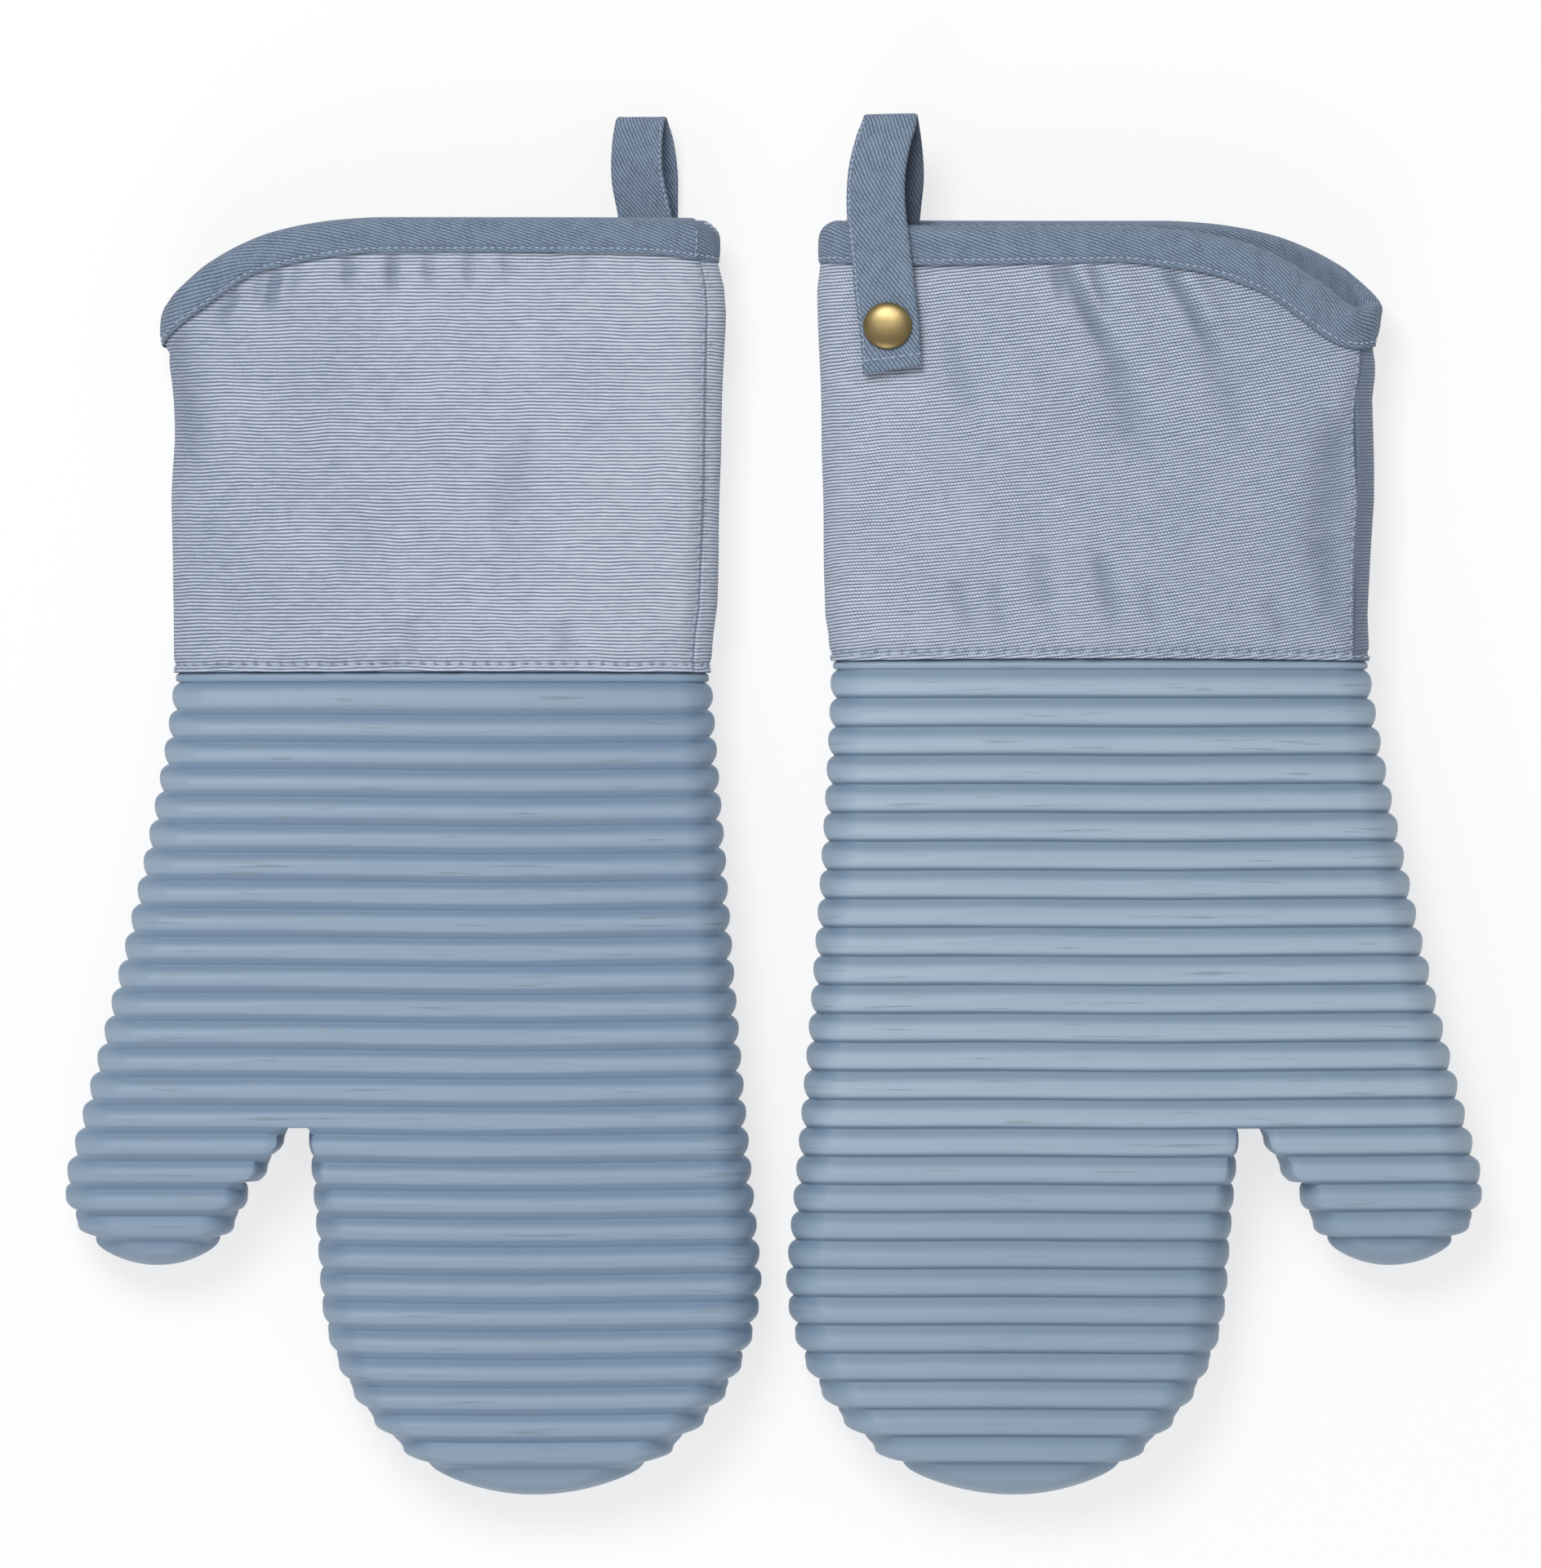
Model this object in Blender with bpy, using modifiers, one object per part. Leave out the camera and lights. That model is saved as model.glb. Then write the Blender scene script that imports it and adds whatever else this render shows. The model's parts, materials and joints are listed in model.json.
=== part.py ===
"""Pair of ribbed silicone oven mitts with padded fabric cuffs and press-stud hanging straps.

One mitt is drawn in its own frame: X across the hand with the thumb at +X, Y up from the fingers to
the cuff, Z out of its front, and the origin in the middle of the hem, where the cuff ends on the
silicone. The pair lies flat: the right mitt with its front up, the left one turned over.
"""

import math

import bmesh
import bpy
from mathutils import Matrix, Vector

# Reach of one mitt, up and down from the hem
FINGER_REACH = 0.2117
THUMB_REACH = 0.1527
CROTCH_REACH = 0.1172
CUFF_HEIGHT = 0.1163
LOOP_RISE = 0.0276

# Outline of the silicone, as distances from the middle of the hem
PINKY_SIDE_AT_HEM = 0.0690
PINKY_SIDE_AT_WIDEST = 0.0806
WIDEST_REACH = 0.1550
THUMB_SIDE_AT_HEM = 0.0705
THUMB_SIDE_AT_WIDEST = 0.0988
THUMB_WIDEST_REACH = 0.1310
FINGER_TIP_X = -0.0220
FINGER_INNER_AT_CROTCH = 0.0360
FINGER_INNER_AT_WIDEST = 0.0330
THUMB_TIP_X = 0.0746
THUMB_INNER_AT_CROTCH = 0.0402
THUMB_INNER_HALF = 0.0235
THUMB_INNER_SLOPE_SHARE = 0.587
PINKY_BOW_POWER = 1.35
THUMB_BOW_POWER = 1.3

# Outline of the cuff's mouth, and how far its front edge has dropped at places across the cuff
PINKY_SIDE_AT_MOUTH = 0.0715
THUMB_SIDE_AT_MOUTH = 0.0722
MOUTH_DROP = 0.0250
BACK_DROP_START = 0.0200
FRONT_DROPS = (
    (THUMB_SIDE_AT_MOUTH, MOUTH_DROP), (0.0660, 0.0232), (0.0620, 0.0210), (0.0580, 0.0175),
    (0.0520, 0.0138), (0.0470, 0.0105), (0.0390, 0.0069), (0.0320, 0.0051), (0.0240, 0.0035),
    (0.0070, 0.0022), (-0.0450, 0.0020), (-0.0600, 0.0017), (-PINKY_SIDE_AT_MOUTH, 0.0),
)
CORNER_START = 0.0675
CORNER_DROP = 0.0022

# Half thickness of the stuffed mitt, and how far its faces are crowned
MOUTH_HALF = 0.0125
HEM_HALF = 0.0150
PALM_HALF = 0.0170
KNUCKLE_HALF = 0.0155
THUMB_HALF = 0.0130
PALM_REACH = 0.0500
CUFF_CROWN_SHARE = 0.45
SILICONE_CROWN_SHARE = 0.12
CROWN_POWER = 2.5
CUFF_EDGE_RADIUS = 0.0120
PALM_EDGE_RADIUS = 0.0150
INNER_EDGE_RADIUS = 0.0110
FINGER_TIP_ROUND = 0.0240
THUMB_TIP_ROUND = 0.0170
SPLIT_BLEND = 0.0280
MOST_ROUNDED_SHARE = 0.97
FOOT_CUT = 0.0005

# Layers of the wall
LAYER_GAP = 0.0003
SHELL_WALL = 0.0018
RIB_DEPTH = 0.0018
PANEL_THICKNESS = 0.0009
PADDING_THICKNESS = 0.0024
PADDING_AT_MOUTH = 0.0012
PADDING_RAMP = 0.0080
LINING_THICKNESS = 0.0008

# Lip and ribs of the silicone
LIP_HEIGHT = 0.0021
LIP_LAP = 0.0080
LIP_SET_IN = 0.0006
RIBS_TO_CROTCH = 16
RIB_ROUND_POWER = 0.6
RIB_PHASE_SHARES = (0.0, 0.3, 0.7)
TIP_PHASE_SHARES = (0.0, 0.3, 0.6, 0.85)
LEAST_TIP_RIB_SHARE = 0.6
CREASE_AT_CROTCH_SHARE = 0.6

# Rows of the inner layers: reaches down the hand, then shares of the way from the crotch to a tip
PALM_ROW_REACHES = (0.0250, 0.0550, 0.0870)
FINGER_ROW_SHARES = (0.0, 0.15, 0.32, 0.6, 0.85, 0.97)
THUMB_ROW_SHARES = (0.0, 0.4, 0.75, 0.95)

# Columns round the front half of a section
ARC_STEPS = 3
HAND_COLUMNS = 3
THUMB_COLUMNS = 1

# Binding
BINDING_WIDTH = 0.0098
TAPE_THICKNESS = 0.0009
MOST_BINDING_STRETCH = 1.12
BINDING_TUCK = 0.0006
BINDING_ROLL_SHARE = 0.3

# Hanging strap
STRAP_WIDTH = 0.0152
STRAP_THICKNESS = 0.0011
STRAP_X = -0.0540
STRAP_BOW = 0.0038
STRAP_LOOP_BULGE = 0.0016
STRAP_ROLL_RADIUS = 0.0012
STRAP_ROLL_END = math.radians(120)
STRAP_TAIL = 0.0119
STRAP_SEWN_DEPTH = 0.0160
SNAP_BELOW_MOUTH = 0.0273
STRAP_STEPS = 7
ROLL_STEPS = 4

# Press stud
SNAP_GAP = 0.00015
SNAP_CAP_RADIUS = 0.0060
SNAP_CAP_HEIGHT = 0.0018
SNAP_CAP_EDGE = 0.0007
SNAP_RIVET_RADIUS = 0.0012
SNAP_SOCKET_RADIUS = 0.0052
SNAP_SOCKET_HEIGHT = 0.0019
SNAP_SOCKET_FLOOR = 0.0005
SNAP_BALL_RADIUS = 0.0022
SNAP_BALL_HEIGHT = 0.0011
SNAP_FLANGE_RADIUS = 0.0050
SNAP_FLANGE_THICKNESS = 0.0005
SNAP_POST_RADIUS = 0.0011
SNAP_POST_FLANGE_RADIUS = 0.0046
ROUND_STEPS = 12
CUT_OVERRUN = 0.0010

# Place of the pair
MITT_SPACING = 0.1674

CREASE_MERGE = 0.000001

FINISHES = {
    "silicone": ("#8B9EAF", 0.5, 0.0),
    "canvas": ("#A7B1C3", 0.9, 0.0),
    "twill": ("#74869E", 0.9, 0.0),
    "padding": ("#E9E7E0", 1.0, 0.0),
    "lining": ("#8FA0B4", 0.9, 0.0),
    "brass": ("#A8914F", 0.35, 1.0),
}


def mix(low, high, share):
    return low + (high - low) * share


def ease(share):
    """Smooth step from 0 to 1."""
    held = min(max(share, 0.0), 1.0)
    return held * held * (3 - 2 * held)


def profile(place, stops):
    """Value at a place on straight runs between (place, value) stops, the highest place first."""
    for (upper, upper_value), (lower, lower_value) in zip(stops, stops[1:]):
        if place >= lower:
            share = min(max((upper - place) / (upper - lower), 0.0), 1.0)
            return mix(upper_value, lower_value, share)
    return stops[-1][1]


def half_thickness(y):
    return profile(y, [
        (CUFF_HEIGHT, MOUTH_HALF), (0.0, HEM_HALF), (-PALM_REACH, PALM_HALF),
        (-CROTCH_REACH, PALM_HALF), (-WIDEST_REACH, KNUCKLE_HALF),
    ])


def crown(y):
    return profile(y, [(0.0, CUFF_CROWN_SHARE), (-PALM_REACH, SILICONE_CROWN_SHARE)])


def edge_radius(y):
    return profile(y, [(0.0, CUFF_EDGE_RADIUS), (-PALM_REACH, PALM_EDGE_RADIUS)])


def round_reach(y, centre_y, tip_y, half, inset):
    """Half width of an elliptical end that starts at centre_y and closes at tip_y."""
    share = (centre_y - y) / (centre_y - tip_y - inset)
    return (half - inset) * math.sqrt(max(1 - min(share, 1.0) ** 2, 0.0))


def pinky_edge(y, inset):
    if y >= 0:
        return -mix(PINKY_SIDE_AT_HEM, PINKY_SIDE_AT_MOUTH, min(y / CUFF_HEIGHT, 1.0)) + inset
    if y >= -WIDEST_REACH:
        bow = (-y / WIDEST_REACH) ** PINKY_BOW_POWER
        return -mix(PINKY_SIDE_AT_HEM, PINKY_SIDE_AT_WIDEST, bow) + inset
    half = FINGER_TIP_X + PINKY_SIDE_AT_WIDEST
    return FINGER_TIP_X - round_reach(y, -WIDEST_REACH, -FINGER_REACH, half, inset)


def thumb_edge(y, inset):
    if y >= 0:
        return mix(THUMB_SIDE_AT_HEM, THUMB_SIDE_AT_MOUTH, min(y / CUFF_HEIGHT, 1.0)) - inset
    if y >= -THUMB_WIDEST_REACH:
        bow = (-y / THUMB_WIDEST_REACH) ** THUMB_BOW_POWER
        return mix(THUMB_SIDE_AT_HEM, THUMB_SIDE_AT_WIDEST, bow) - inset
    half = THUMB_SIDE_AT_WIDEST - THUMB_TIP_X
    return THUMB_TIP_X + round_reach(y, -THUMB_WIDEST_REACH, -THUMB_REACH, half, inset)


def finger_inner_edge(y, inset):
    if y >= -WIDEST_REACH:
        share = min(max((-CROTCH_REACH - y) / (WIDEST_REACH - CROTCH_REACH), 0.0), 1.0)
        return mix(FINGER_INNER_AT_CROTCH, FINGER_INNER_AT_WIDEST, share) - inset
    half = FINGER_INNER_AT_WIDEST - FINGER_TIP_X
    return FINGER_TIP_X + round_reach(y, -WIDEST_REACH, -FINGER_REACH, half, inset)


def thumb_inner_edge(y, inset):
    below = max(-CROTCH_REACH - y, 0.0)
    straight = THUMB_INNER_AT_CROTCH + THUMB_INNER_SLOPE_SHARE * below + inset
    if y >= -THUMB_WIDEST_REACH:
        return straight
    end = THUMB_TIP_X - round_reach(y, -THUMB_WIDEST_REACH, -THUMB_REACH, THUMB_INNER_HALF, inset)
    return min(max(straight, end), THUMB_TIP_X)


def arc_columns(edge, radius, towards):
    """Columns of a quarter round from the edge inwards: x, and the share of the height there."""
    columns = []
    for step in range(ARC_STEPS + 1):
        angle = math.pi / 2 * step / ARC_STEPS
        columns.append((edge + towards * radius * (1 - math.cos(angle)), math.sin(angle)))
    return columns


def run(start, end, count):
    """Flat columns after start, up to and with end."""
    return [(mix(start, end, step / count), 1.0) for step in range(1, count + 1)]


def columns(branch, y, inset, relief, outline_y):
    """Columns from the left edge to the right edge of the whole mitt, the hand or the thumb."""
    web_inset = inset + CREASE_AT_CROTCH_SHARE * RIB_DEPTH
    side_inset = inset + relief
    inner_inset = inset + CREASE_AT_CROTCH_SHARE * relief
    radius = edge_radius(y)
    below = -CROTCH_REACH + inset - y
    inner_radius = INNER_EDGE_RADIUS * min(max(below / SPLIT_BLEND, 0.0), 1.0)
    if branch == "whole":
        left = arc_columns(pinky_edge(outline_y, inset) + relief, radius - side_inset, 1)
        right = arc_columns(thumb_edge(outline_y, inset) - relief, radius - side_inset, -1)
        hand_end = finger_inner_edge(-CROTCH_REACH, web_inset)
        thumb_start = thumb_inner_edge(-CROTCH_REACH, web_inset)
        return (left + run(left[-1][0], hand_end, HAND_COLUMNS) + [(thumb_start, 1.0)]
                + run(thumb_start, right[-1][0], THUMB_COLUMNS) + right[-2::-1])
    if branch == "hand":
        low = pinky_edge(outline_y, inset) + relief
        high = finger_inner_edge(outline_y, inset) - inner_inset + inset
        radii = (radius - side_inset, inner_radius)
        count = HAND_COLUMNS
    else:
        low = thumb_inner_edge(outline_y, inset) + inner_inset - inset
        high = thumb_edge(outline_y, inset) - relief
        radii = (inner_radius, radius - side_inset)
        count = THUMB_COLUMNS
    fit = min(1.0, (high - low) / sum(radii) * MOST_ROUNDED_SHARE)
    left = arc_columns(low, radii[0] * fit, 1)
    right = arc_columns(high, radii[1] * fit, -1)
    return left + run(left[-1][0], right[-1][0], count) + right[-2::-1]


def section_spread(y):
    """Middle and half width of the whole mitt at y."""
    low, high = pinky_edge(y, 0.0), thumb_edge(y, 0.0)
    return (low + high) / 2, (high - low) / 2


def height(branch, x, y, inset, relief):
    """Half height of the stuffed form over x, less the layers outside it."""
    middle, half_width = section_spread(max(y, -CROTCH_REACH))
    thick = half_thickness(y)
    tip_lift = 1.0
    if branch != "whole":
        share = ease((-CROTCH_REACH + inset - y) / SPLIT_BLEND)
        tip = -FINGER_REACH if branch == "hand" else -THUMB_REACH
        rounding = FINGER_TIP_ROUND if branch == "hand" else THUMB_TIP_ROUND
        if branch == "hand":
            own = (pinky_edge(-WIDEST_REACH, 0.0), finger_inner_edge(-WIDEST_REACH, 0.0))
        else:
            own = (thumb_inner_edge(-THUMB_WIDEST_REACH, 0.0), thumb_edge(-THUMB_WIDEST_REACH, 0.0))
            thick = mix(thick, THUMB_HALF, share)
        middle = mix(middle, sum(own) / 2, share)
        half_width = mix(half_width, (own[1] - own[0]) / 2, share)
        left_over = min(max((y - tip - inset) / rounding, 0.0), 1.0)
        tip_lift = math.sqrt(1 - (1 - left_over) ** 2)
    dome = 1 - crown(y) * min(abs(x - middle) / half_width, 1.0) ** CROWN_POWER
    tall = (thick * dome - inset - relief) * tip_lift
    return min(tall, PALM_HALF - FOOT_CUT - inset)


def row(branch, y, inset, relief=0.0, outline_y=None, lowest=0.0):
    """Points across the front half of one section."""
    outline_y = y if outline_y is None else outline_y
    points = []
    for x, lift in columns(branch, y, inset, relief, outline_y):
        points.append(Vector((x, y, max(height(branch, x, y, inset, relief) * lift, lowest))))
    return points


def mouth_y(x, face):
    """Height of the mouth's edge over x on the front (face 1) or the back (face -1)."""
    corner = max((-x - CORNER_START) / (PINKY_SIDE_AT_MOUTH - CORNER_START), 0.0)
    top = CUFF_HEIGHT - CORNER_DROP * corner ** 2
    if face > 0:
        return top - profile(x, FRONT_DROPS)
    share = max((x - BACK_DROP_START) / (THUMB_SIDE_AT_MOUTH - BACK_DROP_START), 0.0)
    return top - MOUTH_DROP * (1 - math.sqrt(1 - min(share, 1.0) ** 2))


def mouth_levels(face, tuck=0.0):
    """Height of the mouth's edge at each column of the whole section, less the tuck."""
    section = columns("whole", CUFF_HEIGHT, 0.0, 0.0, CUFF_HEIGHT)
    return [mouth_y(x, face) - tuck for x, _ in section]


def bent_row(levels, inset, lowest=0.0):
    """Points across the front half of the cuff, each column at its own level."""
    rows = [row("whole", level, inset, lowest=lowest) for level in levels]
    return [points[index] for index, points in enumerate(rows)]


def sheet(whole, hand, thumb, hand_tip, thumb_tip):
    """Points and faces of a front half: whole rows, then the hand's and the thumb's rows.

    The faces are cut into triangles the same way in every layer, so that the layers never cross.
    """
    points, faces = [], []

    def add(row_points):
        start = len(points)
        points.extend(row_points)
        return list(range(start, len(points)))

    def join(upper, lower):
        for first, second, third, fourth in zip(upper, upper[1:], lower[1:], lower):
            faces.append((first, fourth, third))
            faces.append((first, third, second))

    whole_rows = [add(one) for one in whole]
    for upper, lower in zip(whole_rows, whole_rows[1:]):
        join(upper, lower)
    if hand:
        split = whole_rows[-1]
        shared = ARC_STEPS + HAND_COLUMNS + 1
        hand_row = split[:shared] + add(hand[0][shared:])
        thumb_row = add(thumb[0][:ARC_STEPS]) + split[shared:]
        web_hand = hand_row[shared - 1:]
        web_thumb = thumb_row[ARC_STEPS::-1]
        join(web_thumb, web_hand)
        for rows, upper, tip in ((hand, hand_row, hand_tip), (thumb, thumb_row, thumb_tip)):
            for one in rows[1:]:
                lower = add(one)
                join(upper, lower)
                upper = lower
            end = add([tip])[0]
            faces.extend((first, end, second) for first, second in zip(upper, upper[1:]))
    return points, faces


def other_face(points):
    return [Vector((point.x, point.y, -point.z)) for point in points]


def closed_mesh(name, surfaces):
    """One mesh from surfaces that share their border points, with its faces pointing out."""
    mesh = bpy.data.meshes.new(name)
    shape = bmesh.new()
    for points, faces in surfaces:
        verts = [shape.verts.new(point) for point in points]
        for face in faces:
            shape.faces.new([verts[index] for index in face])
    bmesh.ops.remove_doubles(shape, verts=shape.verts, dist=CREASE_MERGE)
    bmesh.ops.recalc_face_normals(shape, faces=shape.faces)
    shape.to_mesh(mesh)
    shape.free()
    return mesh


def border_of(faces):
    """Directed edges that only one face uses."""
    edges = {}
    for face in faces:
        for first, second in zip(face, face[1:] + face[:1]):
            edges[(first, second)] = True
    return [edge for edge in edges if (edge[1], edge[0]) not in edges]


def wall(outer, inner, faces):
    """Closed sheet between two surfaces that have the same faces."""
    count = len(outer)
    rim = [(second, first, first + count, second + count) for first, second in border_of(faces)]
    back = [tuple(index + count for index in reversed(face)) for face in faces]
    return outer + inner, list(faces) + back + rim


def crotch_rows(inset_of, lowest):
    """Rows of the hand and of the thumb in an inner layer, and their tips."""
    inset = inset_of(-CROTCH_REACH)
    top = -CROTCH_REACH + inset
    ends = []
    for branch, reach, shares, tip_x in (
        ("hand", FINGER_REACH, FINGER_ROW_SHARES, FINGER_TIP_X),
        ("thumb", THUMB_REACH, THUMB_ROW_SHARES, THUMB_TIP_X),
    ):
        tip = -reach + inset
        rows = [row(branch, mix(top, tip, share), inset, lowest=lowest) for share in shares]
        ends.append((rows, Vector((tip_x, tip, lowest))))
    return ends


def layer_surface(inset_of, face, lowest):
    """Front half of an inner layer from the mouth's edge to the tips."""
    inset_at_mouth = inset_of(CUFF_HEIGHT)
    step_top = LIP_LAP + LAYER_GAP + SHELL_WALL
    levels = mouth_levels(face, BINDING_TUCK)
    crotch_inset = inset_of(-CROTCH_REACH)
    whole = [bent_row(levels, inset_at_mouth, lowest)]
    below_binding = BINDING_WIDTH * MOST_BINDING_STRETCH
    whole.append(bent_row([level - below_binding for level in levels], inset_at_mouth, lowest))
    whole.append(bent_row([level - below_binding - PADDING_RAMP for level in levels],
                          inset_of(0.0, in_cuff=True), lowest))
    whole.append(row("whole", step_top, inset_of(0.0, in_cuff=True), lowest=lowest))
    whole.append(row("whole", LIP_LAP + LAYER_GAP, inset_of(0.0), lowest=lowest))
    for reach in PALM_ROW_REACHES:
        whole.append(row("whole", -reach, inset_of(-reach), lowest=lowest))
    whole.append(row("whole", -CROTCH_REACH + crotch_inset, crotch_inset, lowest=lowest))
    (hand, hand_tip), (thumb, thumb_tip) = crotch_rows(inset_of, lowest)
    return sheet(whole, hand, thumb, hand_tip, thumb_tip)


def layer_insets(below_silicone, below_panel, below_panel_at_mouth):
    """Inset of a layer's surface: under the silicone, under the cuff, and at the mouth."""
    def inset_of(y, in_cuff=False):
        if y >= CUFF_HEIGHT:
            return below_panel_at_mouth
        return below_panel if in_cuff else below_silicone
    return inset_of


SHELL_INNER = RIB_DEPTH + SHELL_WALL
PADDING_OUTER = (SHELL_INNER + LAYER_GAP, PANEL_THICKNESS + LAYER_GAP)
PADDING_INNER_AT_MOUTH = PADDING_OUTER[1] + PADDING_AT_MOUTH
WALL_AT_MOUTH = PADDING_INNER_AT_MOUTH + LAYER_GAP + LINING_THICKNESS


def layer_mesh(name, depth, thickness, at_mouth, face):
    """Front or back piece of the padding or the lining; depth counts from the padding's outside."""
    start, end = at_mouth
    outer_of = layer_insets(PADDING_OUTER[0] + depth, PADDING_OUTER[1] + depth, start)
    inner_of = layer_insets(PADDING_OUTER[0] + depth + thickness,
                            PADDING_OUTER[1] + depth + thickness, end)
    lowest = LAYER_GAP / 2
    outer, faces = layer_surface(outer_of, face, lowest)
    inner, _ = layer_surface(inner_of, face, lowest)
    points, faces = wall(outer, inner, faces)
    if face < 0:
        points = other_face(points)
    return closed_mesh(name, [(points, faces)])


def rib_stations(start, end, last_phases):
    """Rows down a run of ribs: level, relief, and the level that the outline is read at."""
    pitch = (CROTCH_REACH - LIP_HEIGHT) / RIBS_TO_CROTCH
    creases = [start]
    least = pitch * LEAST_TIP_RIB_SHARE if last_phases is TIP_PHASE_SHARES else pitch / 2
    while creases[-1] - pitch > end + least:
        creases.append(creases[-1] - pitch)
    creases.append(end)
    stations = []
    for upper, lower in zip(creases, creases[1:]):
        phases = last_phases if lower == end else RIB_PHASE_SHARES
        for phase in phases:
            y = mix(upper, lower, phase)
            off_centre = abs(2 * phase - 1)
            relief = RIB_DEPTH * (1 - (1 - off_centre ** 2) ** RIB_ROUND_POWER)
            at_tip = lower == end and last_phases is TIP_PHASE_SHARES
            outline_y = y if at_tip else mix((upper + lower) / 2, y, off_centre)
            stations.append((y, relief, outline_y))
    return stations


def shell_mesh(name):
    """Ribbed silicone mitten with its smooth hollow."""
    fabric_seat = PANEL_THICKNESS + LAYER_GAP
    whole = [row("whole", LIP_LAP, fabric_seat), row("whole", -LAYER_GAP / 2, fabric_seat),
             row("whole", -LAYER_GAP, LIP_SET_IN), row("whole", -LIP_HEIGHT + LAYER_GAP, LIP_SET_IN)]
    stations = rib_stations(-LIP_HEIGHT, -CROTCH_REACH, RIB_PHASE_SHARES)
    stations.append((-CROTCH_REACH, RIB_DEPTH, -CROTCH_REACH))
    whole += [row("whole", y, 0.0, relief, level) for y, relief, level in stations]
    ends = []
    for branch, reach in (("hand", FINGER_REACH), ("thumb", THUMB_REACH)):
        stations = rib_stations(-CROTCH_REACH, -reach, TIP_PHASE_SHARES)
        ends.append([row(branch, y, 0.0, relief, level) for y, relief, level in stations])
    tips = (Vector((FINGER_TIP_X, -FINGER_REACH, 0.0)), Vector((THUMB_TIP_X, -THUMB_REACH, 0.0)))
    outer, outer_faces = sheet(whole, ends[0], ends[1], *tips)

    def inset_of(_):
        return SHELL_INNER
    levels = [LIP_LAP] + [-reach for reach in PALM_ROW_REACHES] + [-CROTCH_REACH + SHELL_INNER]
    inner_whole = [row("whole", level, SHELL_INNER) for level in levels]
    (hand, hand_tip), (thumb, thumb_tip) = crotch_rows(inset_of, 0.0)
    inner, inner_faces = sheet(inner_whole, hand, thumb, hand_tip, thumb_tip)
    rim, rim_faces = sheet([whole[0], inner_whole[0]], None, None, None, None)
    surfaces = []
    for points, faces in ((outer, outer_faces), (inner, inner_faces), (rim, rim_faces)):
        surfaces.append((points, faces))
        surfaces.append((other_face(points), [tuple(reversed(face)) for face in faces]))
    return closed_mesh(name, surfaces)


def panel_mesh(name, face):
    """Front or back fabric panel of the cuff, from the hem to the mouth's edge."""
    lowest = LAYER_GAP / 2
    levels = mouth_levels(face, BINDING_TUCK)
    surfaces = []
    for inset in (0.0, PANEL_THICKNESS):
        rows = [bent_row(levels, inset, lowest),
                bent_row([level / 2 for level in levels], inset, lowest),
                row("whole", 0.0, inset, lowest=lowest)]
        surfaces.append(sheet(rows, None, None, None, None))
    points, faces = wall(surfaces[0][0], surfaces[1][0], surfaces[0][1])
    if face < 0:
        points = other_face(points)
    return closed_mesh(name, [(points, faces)])


def binding_profile():
    """Folded tape as (distance down from the mouth's edge, inset) pairs, round its section."""
    outside = -LAYER_GAP - TAPE_THICKNESS
    inside = WALL_AT_MOUTH + LAYER_GAP
    far = inside + TAPE_THICKNESS
    crest = -LAYER_GAP - TAPE_THICKNESS
    return [
        (BINDING_WIDTH, outside), (0.0, outside),
        (crest, mix(outside, far, BINDING_ROLL_SHARE)), (crest, mix(far, outside, BINDING_ROLL_SHARE)),
        (0.0, far), (BINDING_WIDTH, far), (BINDING_WIDTH, inside), (-LAYER_GAP, inside),
        (-LAYER_GAP, -LAYER_GAP), (BINDING_WIDTH, -LAYER_GAP),
    ]


def binding_mesh(name):
    """Bias tape folded over the mouth's edge, all the way round."""
    rings = []
    for face in (1, -1):
        levels = mouth_levels(face)
        order = range(len(levels)) if face > 0 else range(len(levels) - 2, 0, -1)
        for index in order:
            before, after = max(index - 1, 0), min(index + 1, len(levels) - 1)
            edge = [bent_row(levels, 0.0)[at] for at in (before, after)]
            along = edge[1] - edge[0]
            level_run = math.hypot(along.x, along.z)
            stretch = min(along.length / level_run, MOST_BINDING_STRETCH)
            ring = []
            for down, inset in binding_profile():
                y = levels[index] - (down * stretch if down > 0 else down)
                point = row("whole", min(y, CUFF_HEIGHT), inset)[index]
                ring.append(Vector((point.x, y, point.z * face)))
            rings.append(ring)
    points = [point for ring in rings for point in ring]
    size = len(rings[0])
    faces = []
    for start in range(len(rings)):
        after = (start + 1) % len(rings)
        for index in range(size):
            beside = (index + 1) % size
            faces.append((start * size + index, start * size + beside,
                          after * size + beside, after * size + index))
    return closed_mesh(name, [(points, faces)])


class StrapSeat:
    """Place of the strap on the front of the cuff, on the flat facet that it lies along."""

    def __init__(self):
        levels = mouth_levels(1)
        self.snap_y = CUFF_HEIGHT - SNAP_BELOW_MOUTH
        across = row("whole", self.snap_y, 0.0)
        for left, right in zip(across, across[1:]):
            if left.x <= STRAP_X <= right.x:
                break
        self.left_index = across.index(left)
        self.width_axis = Vector((right.x - left.x, 0.0, right.z - left.z)).normalized()
        self.normal = self.width_axis.cross(Vector((0.0, 1.0, 0.0)))
        self.mouth_level = levels[self.left_index]
        top = CUFF_HEIGHT + LOOP_RISE
        self.hinge_y = top - STRAP_THICKNESS / 2 - STRAP_ROLL_RADIUS

    def ground(self, y):
        """Point of the panel's facet under the strap's middle."""
        across = row("whole", min(y, CUFF_HEIGHT), 0.0)
        left, right = across[self.left_index], across[self.left_index + 1]
        share = (STRAP_X - left.x) / (right.x - left.x)
        return Vector((STRAP_X, y, mix(left.z, right.z, share)))

    def point(self, y, lift, sideways):
        return self.ground(y) + self.normal * lift + self.width_axis * sideways


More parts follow.
